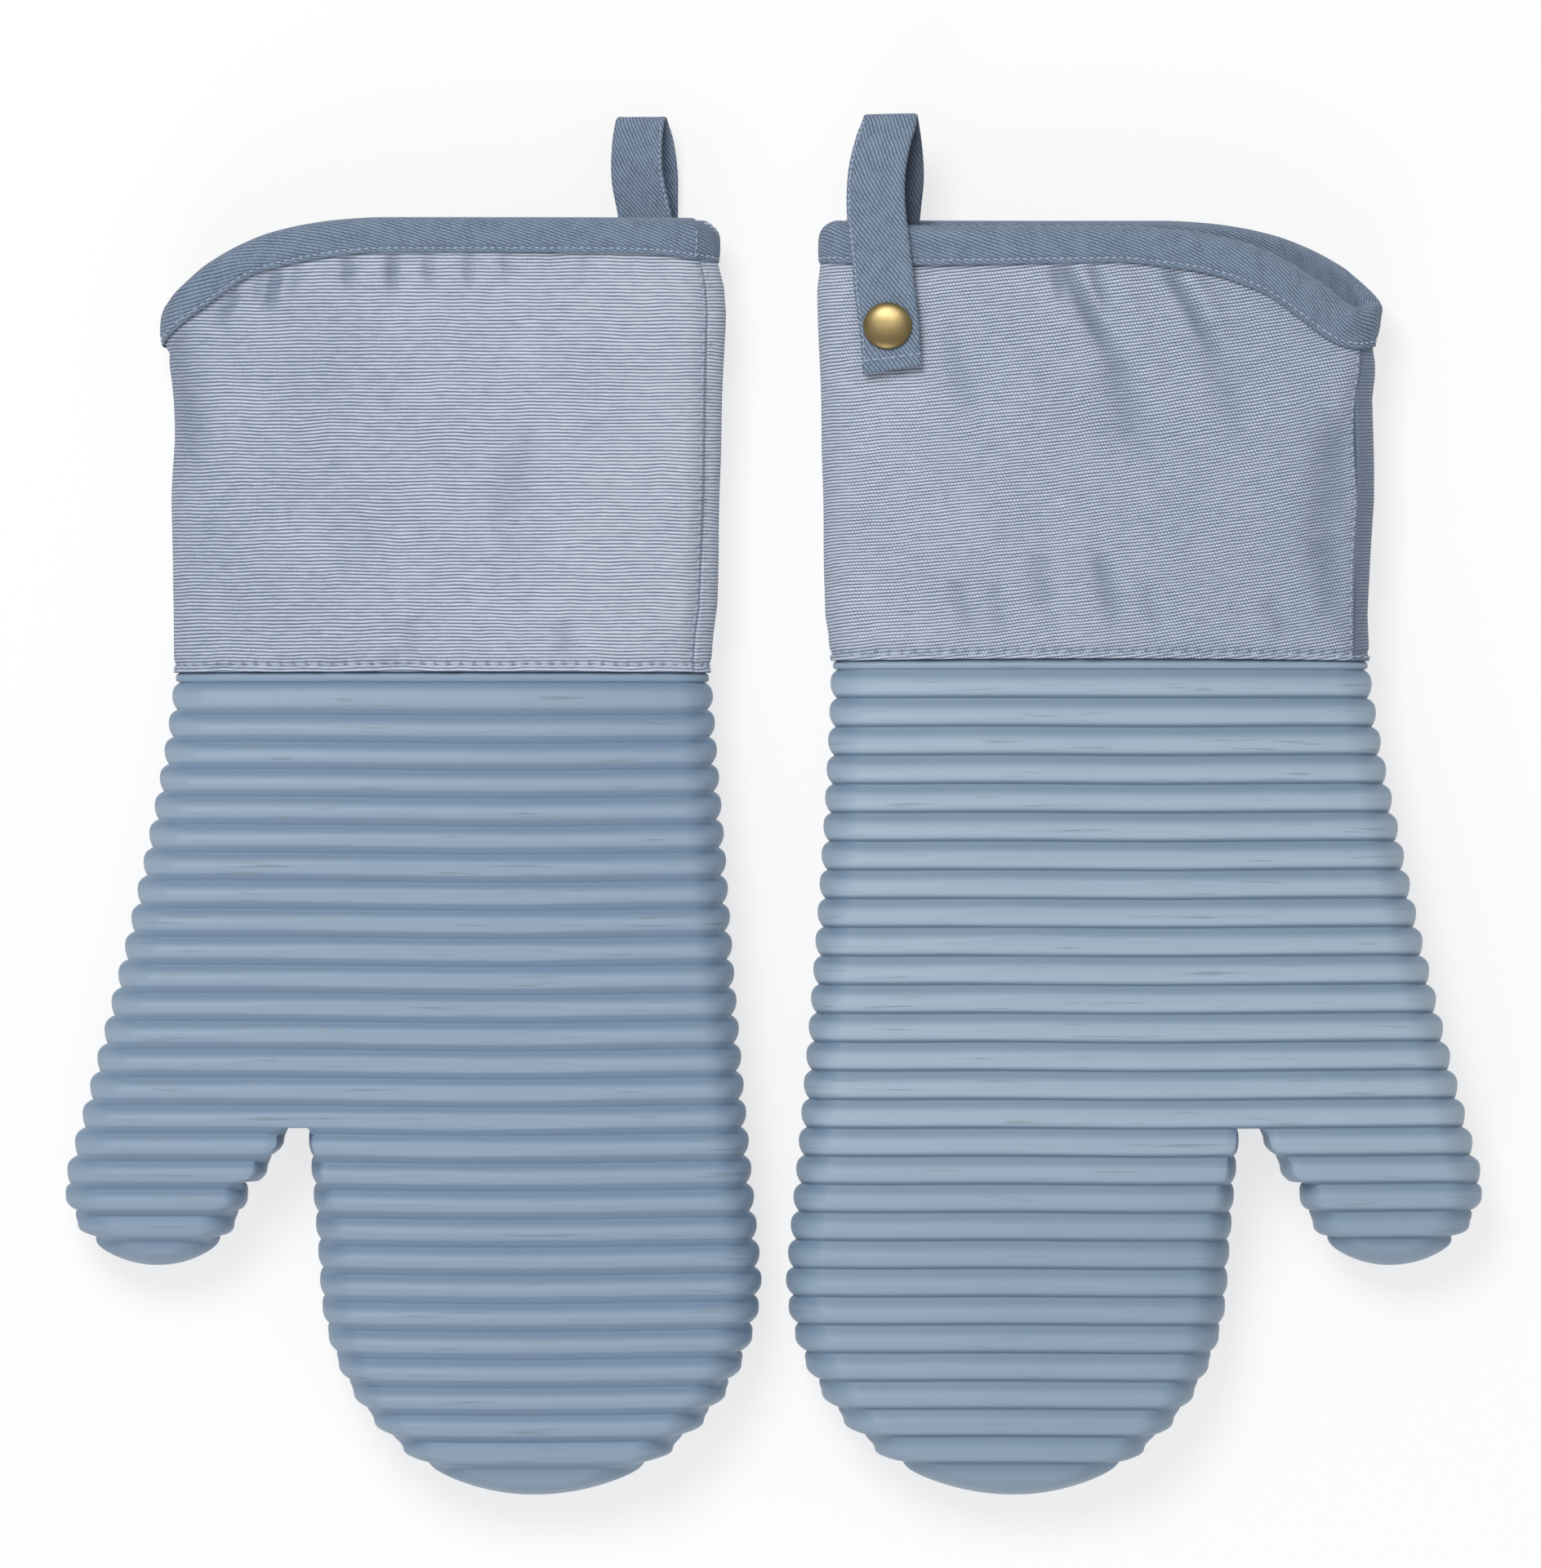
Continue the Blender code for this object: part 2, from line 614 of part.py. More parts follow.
def snap_stack():
    """Heights over the cuff panel of the press stud's pieces and of the strap's two faces."""
    stud_flange = SNAP_GAP + SNAP_FLANGE_THICKNESS
    socket_base = stud_flange + SNAP_GAP
    strap_under = socket_base + SNAP_SOCKET_HEIGHT + SNAP_GAP
    return socket_base, strap_under, strap_under + STRAP_THICKNESS


def front_strap_path(seat):
    """Middle line of the free limb, from the loop's top down to the tail: level, lift, shift."""
    _, under, _ = snap_stack()
    on_snap = under + STRAP_THICKNESS / 2
    on_binding = TAPE_THICKNESS + LAYER_GAP * 2 + STRAP_THICKNESS / 2
    over_edge = max(on_binding, on_snap)
    hinge_lift = hinge_height(seat)
    top, edge = seat.hinge_y, seat.mouth_level
    path = []
    for step in range(ROLL_STEPS):
        angle = STRAP_ROLL_END * (1 - step / ROLL_STEPS)
        path.append((top + STRAP_ROLL_RADIUS * math.sin(angle),
                     hinge_lift + STRAP_ROLL_RADIUS * math.cos(angle)))
    for step in range(STRAP_STEPS + 1):
        share = step / STRAP_STEPS
        bulge = math.sin(math.pi * share) * STRAP_LOOP_BULGE
        start = hinge_lift + STRAP_ROLL_RADIUS
        lift = mix(start, over_edge, math.sin(math.pi / 2 * share)) + bulge
        path.append((mix(top, edge, share), lift))
    tail = seat.snap_y - STRAP_TAIL
    path += [(mix(edge, seat.snap_y, 1 / 2), on_snap), (seat.snap_y, on_snap), (tail, on_snap)]
    shifted = []
    for y, lift in path:
        share = min(max((y - seat.snap_y) / (top - seat.snap_y), 0.0), 1.0)
        shifted.append((y, lift, -STRAP_BOW * math.sin(math.pi * share) ** 2))
    return shifted


def hinge_height(seat):
    """Lift of the loop's top: halfway between the two limbs where they pass the binding."""
    front = TAPE_THICKNESS + LAYER_GAP * 2 + STRAP_THICKNESS / 2
    back = -WALL_AT_MOUTH - TAPE_THICKNESS - LAYER_GAP * 2 - STRAP_THICKNESS / 2
    return (front + back) / 2


def back_strap_path(seat):
    """Middle line of the sewn limb, from below the loop's top down inside the mouth."""
    inside = -WALL_AT_MOUTH - TAPE_THICKNESS - LAYER_GAP * 2 - STRAP_THICKNESS / 2
    swept = STRAP_ROLL_RADIUS + STRAP_THICKNESS / 2
    start = seat.hinge_y - swept - LAYER_GAP
    below_hinge = hinge_height(seat) - STRAP_ROLL_RADIUS
    path = []
    for step in range(STRAP_STEPS + 1):
        share = step / STRAP_STEPS
        bulge = math.sin(math.pi * share) * STRAP_LOOP_BULGE
        lift = mix(below_hinge, inside, math.sin(math.pi / 2 * share)) - bulge
        path.append((mix(start, seat.mouth_level, share), lift, 0.0))
    path.append((seat.mouth_level - STRAP_SEWN_DEPTH, inside, 0.0))
    return path


def ribbon(name, seat, path):
    """Open strip along a path, to be thickened into a strap."""
    points = []
    for y, lift, shift in path:
        for side in (-STRAP_WIDTH / 2, STRAP_WIDTH / 2):
            points.append(seat.point(y, lift, shift + side))
    faces = [(2 * at, 2 * at + 1, 2 * at + 3, 2 * at + 2) for at in range(len(path) - 1)]
    mesh = bpy.data.meshes.new(name)
    mesh.from_pydata(points, [], faces)
    return mesh


def thicken(thing, thickness):
    solid = thing.modifiers.new("Tape", "SOLIDIFY")
    solid.thickness = thickness
    solid.offset = 0.0
    solid.use_even_offset = True


def turned_mesh(name, outline):
    """Outline of (radius, height) points to be turned: a loop, or a run from axis to axis."""
    mesh = bpy.data.meshes.new(name)
    points = [(radius, 0.0, level) for radius, level in outline]
    edges = [(at, at + 1) for at in range(len(points) - 1)]
    if outline[0][0] > 0:
        edges.append((len(points) - 1, 0))
    mesh.from_pydata(points, edges, [])
    return mesh


def turn(thing):
    screw = thing.modifiers.new("Turn", "SCREW")
    screw.angle = 2 * math.pi
    screw.steps = ROUND_STEPS
    screw.render_steps = ROUND_STEPS
    screw.use_merge_vertices = True
    screw.merge_threshold = CREASE_MERGE
    screw.use_normal_calculate = False


def snap_outlines():
    """Outlines of the press stud's turned pieces, as heights over the cuff panel."""
    socket_base, under, top = snap_stack()
    seat = top + SNAP_GAP
    rivet_end = socket_base + SNAP_SOCKET_HEIGHT - SNAP_SOCKET_FLOOR
    rise = SNAP_CAP_HEIGHT - SNAP_CAP_EDGE
    crest = seat + SNAP_CAP_HEIGHT
    cap = [(0.0, crest)]
    for step in range(1, ARC_STEPS + 1):
        angle = math.pi / 2 * step / ARC_STEPS
        cap.append((SNAP_CAP_RADIUS * math.sin(angle), seat + SNAP_CAP_EDGE + rise * math.cos(angle)))
    cap += [(SNAP_CAP_RADIUS - SNAP_GAP, seat), (SNAP_RIVET_RADIUS, seat),
            (SNAP_RIVET_RADIUS, rivet_end), (0.0, rivet_end)]
    socket_top = socket_base + SNAP_SOCKET_HEIGHT
    mouth = SNAP_BALL_RADIUS + SNAP_GAP
    bore = SNAP_RIVET_RADIUS + SNAP_GAP
    socket = [(bore, socket_top), (SNAP_SOCKET_RADIUS - SNAP_FLANGE_THICKNESS, socket_top),
              (SNAP_SOCKET_RADIUS, socket_top - SNAP_FLANGE_THICKNESS), (SNAP_SOCKET_RADIUS, socket_base),
              (mouth, socket_base), (mouth, rivet_end), (bore, rivet_end)]
    flange_top = SNAP_GAP + SNAP_FLANGE_THICKNESS
    ball_top = flange_top + SNAP_BALL_HEIGHT
    hole = SNAP_POST_RADIUS + SNAP_GAP
    ball_middle = mix(flange_top, ball_top, 1 / 2)
    stud = [(hole, ball_top), (SNAP_BALL_RADIUS - SNAP_GAP, ball_top),
            (SNAP_BALL_RADIUS, ball_middle), (SNAP_BALL_RADIUS - SNAP_GAP, flange_top),
            (SNAP_FLANGE_RADIUS, flange_top),
            (SNAP_FLANGE_RADIUS, SNAP_GAP), (hole, SNAP_GAP)]
    post_top = ball_top - SNAP_GAP
    flange_seat = -PANEL_THICKNESS - SNAP_GAP
    post = [(0.0, post_top), (SNAP_POST_RADIUS, post_top), (SNAP_POST_RADIUS, flange_seat),
            (SNAP_POST_FLANGE_RADIUS, flange_seat),
            (SNAP_POST_FLANGE_RADIUS, flange_seat - SNAP_FLANGE_THICKNESS),
            (0.0, flange_seat - SNAP_FLANGE_THICKNESS)]
    return {"snap_cap": cap, "snap_socket": socket, "snap_stud": stud, "snap_post": post}


def clear_scene():
    for thing in list(bpy.data.objects):
        bpy.data.objects.remove(thing, do_unlink=True)


def finish_of(name):
    """Principled material from its sRGB colour, roughness and metallic value."""
    if name in bpy.data.materials:
        return bpy.data.materials[name]
    colour, roughness, metallic = FINISHES[name]
    made = bpy.data.materials.new(name)
    made.use_nodes = True
    surface = made.node_tree.nodes["Principled BSDF"]
    linear = [(int(colour[at:at + 2], 16) / 255) ** 2.2 for at in (1, 3, 5)]
    surface.inputs["Base Color"].default_value = (*linear, 1.0)
    surface.inputs["Roughness"].default_value = roughness
    surface.inputs["Metallic"].default_value = metallic
    return made


def collection_of(name):
    made = bpy.data.collections.new(name)
    bpy.context.scene.collection.children.link(made)
    return made


class Mitt:
    """One mitt's frame, and the pieces that are hung on it."""

    def __init__(self, side, parts, cutters):
        self.side, self.parts, self.cutters = side, parts, cutters
        sign = 1 if side == "right" else -1
        loop_top = CUFF_HEIGHT + LOOP_RISE
        place = Matrix.Translation((sign * MITT_SPACING / 2, (FINGER_REACH - loop_top) / 2,
                                    PALM_HALF - FOOT_CUT))
        turned = Matrix.Rotation(0.0 if sign > 0 else math.pi, 4, "Y")
        self.frame = self.empty("mitt_frame", place @ turned)
        self.seat = StrapSeat()
        hinge = self.seat.point(self.seat.hinge_y, hinge_height(self.seat), 0.0)
        self.hinge = self.empty("strap_hinge", Matrix.Translation(hinge))
        self.hinge.parent = self.frame
        self.carried = Matrix.Translation(-hinge)

    def empty(self, name, matrix):
        made = bpy.data.objects.new(f"{self.side}_{name}", None)
        made.matrix_local = matrix
        self.parts.objects.link(made)
        return made

    def add(self, name, mesh, finish, on_strap=False, matrix=None):
        """Named piece in the mitt's frame; one on the strap hangs on the strap's hinge."""
        made = bpy.data.objects.new(f"{self.side}_{name}", mesh)
        made.data.materials.append(finish_of(finish))
        made.parent = self.hinge if on_strap else self.frame
        local = matrix or Matrix.Identity(4)
        made.matrix_local = self.carried @ local if on_strap else local
        self.parts.objects.link(made)
        return made

    def stack_matrix(self):
        """Frame of the press stud: on the cuff panel, Z along the facet's normal."""
        seat = self.seat
        turned = Matrix((seat.width_axis, Vector((0.0, 1.0, 0.0)), seat.normal)).transposed()
        return Matrix.Translation(seat.ground(seat.snap_y)) @ turned.to_4x4()

    def drill(self, thing, radius, low, high):
        """Round hole on the press stud's axis, between two heights over the cuff panel."""
        mesh = bpy.data.meshes.new("drill")
        shape = bmesh.new()
        bmesh.ops.create_cone(shape, cap_ends=True, segments=ROUND_STEPS, radius1=radius,
                              radius2=radius, depth=high - low)
        shape.to_mesh(mesh)
        shape.free()
        cutter = bpy.data.objects.new(f"{thing.name}_hole", mesh)
        self.cutters.objects.link(cutter)
        cutter.parent = self.frame
        cutter.matrix_local = self.stack_matrix() @ Matrix.Translation((0, 0, (low + high) / 2))
        cutter.hide_render = True
        cutter.display_type = "WIRE"
        cut = thing.modifiers.new("Hole", "BOOLEAN")
        cut.operation = "DIFFERENCE"
        cut.object = cutter

    def build(self):
        self.add("silicone_shell", shell_mesh("silicone_shell"), "silicone")
        lining_depth = PADDING_THICKNESS + LAYER_GAP
        padding_at_mouth = (PADDING_OUTER[1], PADDING_INNER_AT_MOUTH)
        lining_at_mouth = (PADDING_INNER_AT_MOUTH + LAYER_GAP, WALL_AT_MOUTH)
        panels = {}
        for name, face in (("front", 1), ("back", -1)):
            panels[name] = self.add(f"cuff_{name}_panel", panel_mesh("cuff_panel", face), "canvas")
            panels[f"{name}_padding"] = self.add(
                f"padding_{name}",
                layer_mesh("padding", 0.0, PADDING_THICKNESS, padding_at_mouth, face), "padding")
            self.add(f"lining_{name}",
                     layer_mesh("lining", lining_depth, LINING_THICKNESS, lining_at_mouth, face),
                     "lining")
        self.add("cuff_binding", binding_mesh("cuff_binding"), "twill")
        front = self.add("strap_front", ribbon("strap_front", self.seat, front_strap_path(self.seat)),
                         "twill", on_strap=True)
        back = self.add("strap_back", ribbon("strap_back", self.seat, back_strap_path(self.seat)),
                        "twill")
        for strap in (front, back):
            thicken(strap, STRAP_THICKNESS)
        for name, outline in snap_outlines().items():
            on_strap = name in ("snap_cap", "snap_socket")
            turn(self.add(name, turned_mesh(name, outline), "brass", on_strap, self.stack_matrix()))
        _, under, top = snap_stack()
        self.drill(front, SNAP_RIVET_RADIUS + SNAP_GAP, under - CUT_OVERRUN, top + CUT_OVERRUN)
        self.drill(panels["front"], SNAP_POST_RADIUS + SNAP_GAP,
                   -PANEL_THICKNESS - CUT_OVERRUN, CUT_OVERRUN)
        self.drill(panels["front_padding"], SNAP_POST_FLANGE_RADIUS + LAYER_GAP,
                   -PANEL_THICKNESS - SNAP_GAP - SNAP_FLANGE_THICKNESS - LAYER_GAP, CUT_OVERRUN)
        return self


def main():
    clear_scene()
    parts = collection_of("silicone_oven_mitts")
    cutters = collection_of("cutters")
    for side in ("right", "left"):
        mitt = Mitt(side, parts, cutters).build()
        bpy.context.view_layer.update()
        hinge = mitt.hinge.matrix_world
        axis = mitt.frame.matrix_world.to_3x3() @ mitt.seat.width_axis
        print(side, "strap hinge", [round(value, 5) for value in hinge.translation],
              "axis", [round(value, 5) for value in axis])


main()
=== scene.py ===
import json
import math

import bmesh
import bpy
import numpy as np
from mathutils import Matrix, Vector


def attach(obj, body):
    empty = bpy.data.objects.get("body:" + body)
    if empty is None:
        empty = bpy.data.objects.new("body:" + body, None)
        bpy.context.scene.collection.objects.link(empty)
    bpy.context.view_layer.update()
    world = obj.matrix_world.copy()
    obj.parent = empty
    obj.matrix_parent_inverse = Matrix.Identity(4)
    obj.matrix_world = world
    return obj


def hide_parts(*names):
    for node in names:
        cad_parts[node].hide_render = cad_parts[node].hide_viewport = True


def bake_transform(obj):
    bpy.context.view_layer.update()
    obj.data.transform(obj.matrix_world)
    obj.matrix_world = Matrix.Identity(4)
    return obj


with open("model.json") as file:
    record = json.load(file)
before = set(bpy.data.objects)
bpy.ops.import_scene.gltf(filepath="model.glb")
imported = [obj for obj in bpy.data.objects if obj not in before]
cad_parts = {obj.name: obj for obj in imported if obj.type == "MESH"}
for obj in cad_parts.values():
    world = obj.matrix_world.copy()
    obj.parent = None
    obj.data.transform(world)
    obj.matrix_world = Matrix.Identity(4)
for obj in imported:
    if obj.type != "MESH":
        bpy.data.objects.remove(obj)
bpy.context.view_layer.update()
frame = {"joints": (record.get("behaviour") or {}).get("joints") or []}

# Lengths are in millimetres. A mitt is drawn with its thumb at +x, its cuff at +y, its front at +z
# and the middle of its hem at 0, and is then laid in place, the left one turned over.
mitt = {
    "fingerReach": 211.7, "thumbReach": 152.7, "crotchReach": 117.2,
    "cuffHeight": 116.3, "loopRise": 27.6, "spacing": 167.4,
    "pinkySideAtHem": 69.0, "pinkySideAtWidest": 80.6, "widestReach": 155.0, "pinkyBow": 1.35,
    "thumbSideAtHem": 70.5, "thumbSideAtWidest": 98.8, "thumbWidestReach": 131.0, "thumbBow": 1.3,
    "fingerTipX": -22.0, "thumbTipX": 74.6,
    "fingerInnerAtCrotch": 36.0, "fingerInnerAtWidest": 33.0,
    "thumbInnerAtCrotch": 40.2, "thumbInnerHalf": 23.5, "thumbInnerSlope": 0.587,
    "pinkySideAtMouth": 71.5, "thumbSideAtMouth": 72.2,
    "cornerStart": 67.3, "cornerRound": 4.2, "edgeSmoothing": 3.0,
    "mouthHalf": 12.5, "hemHalf": 15.0, "palmHalf": 17.0, "knuckleHalf": 15.5, "thumbHalf": 13.0,
    "palmReach": 50.0, "cuffCrown": 0.45, "siliconeCrown": 0.12, "crownPower": 2.5,
    "cuffEdgeRadius": 9.0, "palmEdgeRadius": 9.5, "innerEdgeRadius": 8.5,
    "fingerTipRound": 24.0, "thumbTipRound": 17.0, "splitBlend": 28.0, "footCut": 0.5,
    "creaseAtCrotch": 0.6,
}

# Tables for the front (1) and the back (-1) at places across the cuff: how far the mouth's edge has
# dropped, and the level of the binding's lower edge
edgeDrops = {
    1: [(-71.5, 0.0), (-60.0, 1.7), (-45.0, 2.0), (7.0, 2.2), (24.0, 3.5), (32.0, 5.1), (39.0, 6.9),
        (47.0, 10.5), (52.0, 13.8), (58.0, 17.5), (62.0, 21.2), (64.5, 22.9), (66.4, 23.4), (68.0, 23.0),
        (69.5, 22.0), (72.2, 21.5)],
    -1: [(-71.5, 0.0), (20.0, 0.0), (30.4, 0.8), (39.0, 2.2), (47.5, 4.4), (56.1, 8.2), (60.4, 10.8),
         (64.7, 13.4), (69.0, 17.2), (71.1, 19.6), (72.2, 21.5)],
}
tapeHems = {
    1: [(-71.5, 104.9), (-66.0, 104.5), (-50.0, 103.8), (-30.0, 104.0), (7.1, 104.6), (16.4, 103.4),
        (24.8, 102.3), (31.9, 100.6), (38.0, 98.3), (43.8, 95.8), (49.1, 91.8), (54.8, 87.8), (60.2, 84.2),
        (64.2, 82.7), (67.5, 82.4), (72.2, 83.4)],
    -1: [(-71.5, 104.9), (-62.4, 105.8), (-56.5, 106.7), (-43.3, 107.1), (18.7, 107.1), (28.1, 106.3),
         (37.8, 104.6), (45.6, 102.9), (51.5, 101.0), (57.1, 97.2), (63.0, 92.8), (66.8, 89.0),
         (70.1, 86.0), (72.2, 83.4)],
}

# How each mitt lies: at a level y its sides are this far out, and its rows are this far up; the middle
# stays still, and the way out comes in over the ramp
lie = {
    "stillHalf": 40.0, "ramp": 30.0,
    "right": {
        "pinky": [(0.0, 0.0), (7.0, 0.2), (12.0, 1.0), (98.0, 1.0), (104.0, 0.3), (112.0, 0.0)],
        "thumb": [(-45.0, 0.0), (-6.0, -0.9), (1.5, -1.1), (12.0, -1.6), (22.0, -1.3), (43.0, -0.9),
                  (54.0, -1.3), (64.0, -1.7), (70.0, -1.8), (76.0, -0.9), (80.0, -0.5), (85.5, -0.8),
                  (90.7, -0.3), (95.0, 0.6), (112.0, 0.8)],
        "rows": [(-117.2, 0.0), (-2.1, 2.5), (0.0, 2.6), (20.0, 2.1), (60.0, 0.0)],
    },
    "left": {
        "pinky": [(-45.0, 0.0), (-6.0, -1.0), (1.5, -1.7), (7.0, -1.5), (12.0, -1.0), (17.0, -0.4),
                  (40.0, -0.3), (92.0, 0.0), (99.0, -0.7), (105.0, -2.2), (118.0, -2.3)],
        "thumb": [(22.0, 0.0), (33.0, -0.2), (44.0, -0.4), (54.0, -0.8), (59.0, -0.9), (64.5, -0.6),
                  (69.7, -0.2), (75.0, 0.6), (80.0, 1.8), (85.5, 1.8), (91.0, 1.1), (95.0, 0.0),
                  (100.0, -0.4), (112.0, 0.0)],
        "rows": [(-30.0, 0.0), (-2.1, -0.8), (0.0, -0.4), (20.0, -0.2), (60.0, 0.0)],
    },
}

turns = {"right": 1.0, "left": -1.0}

# Steps between the columns of a half section: each rounded side, the hand's and the thumb's flat
# stretches and the web between them
columnSteps = {"arc": 14, "hand": 38, "web": 3, "thumb": 14}


def mix(low, high, share):
    # low + (high - low) · share
    return low + (high - low) * share


def ease(share):
    # smooth step, 3s² - 2s³ of the share held between 0 and 1
    held = np.clip(share, 0.0, 1.0)
    return held * held * (3 - 2 * held)


def table(place, stops):
    # value at a place on straight runs between (place, value) stops
    return np.interp(place, *zip(*sorted(stops)))


def lengthsAlong(points):
    # distance of each point from the first one, along the line through them
    return np.concatenate([[0.0], np.cumsum(np.linalg.norm(np.diff(points, axis=0), axis=-1))])


def bell(distance, width):
    # 1 in the middle, falling off as exp(-(distance / width)²)
    return np.exp(-(distance / width) ** 2)


def unit(vectors, least=0.0):
    # each vector divided by its length, or by the least length where it is shorter
    return vectors / np.maximum(np.linalg.norm(vectors, axis=-1, keepdims=True), least)


def roundReach(y, centreY, tipY, half, inset):
    # half width of an ellipse quarter: half · √(1 - share²), share counted from centreY to the tip
    share = (centreY - y) / (centreY - tipY - inset)
    return (half - inset) * np.sqrt(np.clip(1 - np.clip(share, 0, 1) ** 2, 0, 1))


def pinkyEdge(y, inset):
    # cuff side, then a bow (-y/reach)^power out to the widest place, then the tip's ellipse
    m = mitt
    cuff = -mix(m["pinkySideAtHem"], m["pinkySideAtMouth"], np.clip(y / m["cuffHeight"], 0, 1)) + inset
    bow = np.clip(-y / m["widestReach"], 0, 1) ** m["pinkyBow"]
    hand = -mix(m["pinkySideAtHem"], m["pinkySideAtWidest"], bow) + inset
    half = m["fingerTipX"] + m["pinkySideAtWidest"]
    tip = m["fingerTipX"] - roundReach(y, -m["widestReach"], -m["fingerReach"], half, inset)
    return np.where(y >= 0, cuff, np.where(y >= -m["widestReach"], hand, tip))


def thumbEdge(y, inset):
    # the same on the thumb's outer side
    m = mitt
    cuff = mix(m["thumbSideAtHem"], m["thumbSideAtMouth"], np.clip(y / m["cuffHeight"], 0, 1)) - inset
    bow = np.clip(-y / m["thumbWidestReach"], 0, 1) ** m["thumbBow"]
    hand = mix(m["thumbSideAtHem"], m["thumbSideAtWidest"], bow) - inset
    half = m["thumbSideAtWidest"] - m["thumbTipX"]
    tip = m["thumbTipX"] + roundReach(y, -m["thumbWidestReach"], -m["thumbReach"], half, inset)
    return np.where(y >= 0, cuff, np.where(y >= -m["thumbWidestReach"], hand, tip))


def fingerInnerEdge(y, inset):
    # straight from the crotch to the widest place, then the tip's ellipse
    m = mitt
    share = np.clip((-m["crotchReach"] - y) / (m["widestReach"] - m["crotchReach"]), 0, 1)
    side = mix(m["fingerInnerAtCrotch"], m["fingerInnerAtWidest"], share) - inset
    half = m["fingerInnerAtWidest"] - m["fingerTipX"]
    tip = m["fingerTipX"] + roundReach(y, -m["widestReach"], -m["fingerReach"], half, inset)
    return np.where(y >= -m["widestReach"], side, tip)


def thumbInnerEdge(y, inset):
    # slanting line from the crotch, until the thumb tip's ellipse takes over
    m = mitt
    below = np.clip(-m["crotchReach"] - y, 0, None)
    straight = m["thumbInnerAtCrotch"] + m["thumbInnerSlope"] * below + inset
    tip = m["thumbTipX"] - roundReach(
        y, -m["thumbWidestReach"], -m["thumbReach"], m["thumbInnerHalf"], inset)
    return np.where(y >= -m["thumbWidestReach"], straight, np.clip(tip, straight, m["thumbTipX"]))


def columnLayout(branch):
    # stretch number and share of each column: 0 left round, 1 to 3 plateau, 4 right round
    steps = columnSteps
    left = [(0, step / steps["arc"]) for step in range(steps["arc"] + 1)]
    right = [(4, step / steps["arc"]) for step in range(steps["arc"] - 1, -1, -1)]
    if branch == "whole":
        middle = [(1, step / steps["hand"]) for step in range(1, steps["hand"] + 1)]
        middle += [(2, step / steps["web"]) for step in range(1, steps["web"] + 1)]
        middle += [(3, step / steps["thumb"]) for step in range(1, steps["thumb"] + 1)]
    else:
        count = steps[branch]
        middle = [(1, step / count) for step in range(1, count + 1)]
    stretch, share = zip(*(left + middle + right))
    return np.array(stretch), np.array(share)


layouts = {branch: columnLayout(branch) for branch in ("whole", "hand", "thumb")}


def sectionX(branch, y, inset, relief, outlineY):
    # across a section: quarter round R(1 - cos a) at each side, even steps between them
    m = mitt
    stretch, share = layouts[branch]
    angle = share * math.pi / 2
    radius = table(y, [(0, m["cuffEdgeRadius"]), (-m["palmReach"], m["palmEdgeRadius"])])
    outerRadius = radius - inset - relief
    innerInset = inset + m["creaseAtCrotch"] * relief
    webInset = (inset + m["creaseAtCrotch"] * ribs["depth"]) * ease(-y / m["crotchReach"])
    below = -m["crotchReach"] + inset - y
    innerRadius = m["innerEdgeRadius"] * np.clip(below / m["splitBlend"], 0, 1)
    if branch == "thumb":
        low, lowRadius = thumbInnerEdge(outlineY, inset) + innerInset - inset, innerRadius
    else:
        low, lowRadius = pinkyEdge(outlineY, inset) + relief, outerRadius
    if branch == "hand":
        high, highRadius = fingerInnerEdge(outlineY, inset) - innerInset + inset, innerRadius
    else:
        high, highRadius = thumbEdge(outlineY, inset) - relief, outerRadius
    if branch != "whole":
        fit = np.minimum(1.0, (high - low) / (lowRadius + highRadius) * 0.97)
        lowRadius, highRadius = lowRadius * fit, highRadius * fit
    start, end = low + lowRadius, high - highRadius
    if branch == "whole":
        handEnd = fingerInnerEdge(-m["crotchReach"], webInset)
        thumbStart = thumbInnerEdge(-m["crotchReach"], webInset)
        middle = np.where(stretch == 1, mix(start, handEnd, share),
                          np.where(stretch == 2, mix(handEnd, thumbStart, share),
                                   mix(thumbStart, end, share)))
    else:
        middle = mix(start, end, share)
    leftRound = low + lowRadius * (1 - np.cos(angle))
    rightRound = high - highRadius * (1 - np.cos(angle))
    lift = np.where((stretch == 0) | (stretch == 4), np.sin(angle), 1.0)
    x = np.where(stretch == 0, leftRound, np.where(stretch == 4, rightRound, middle))
    return x, np.broadcast_to(lift, x.shape)


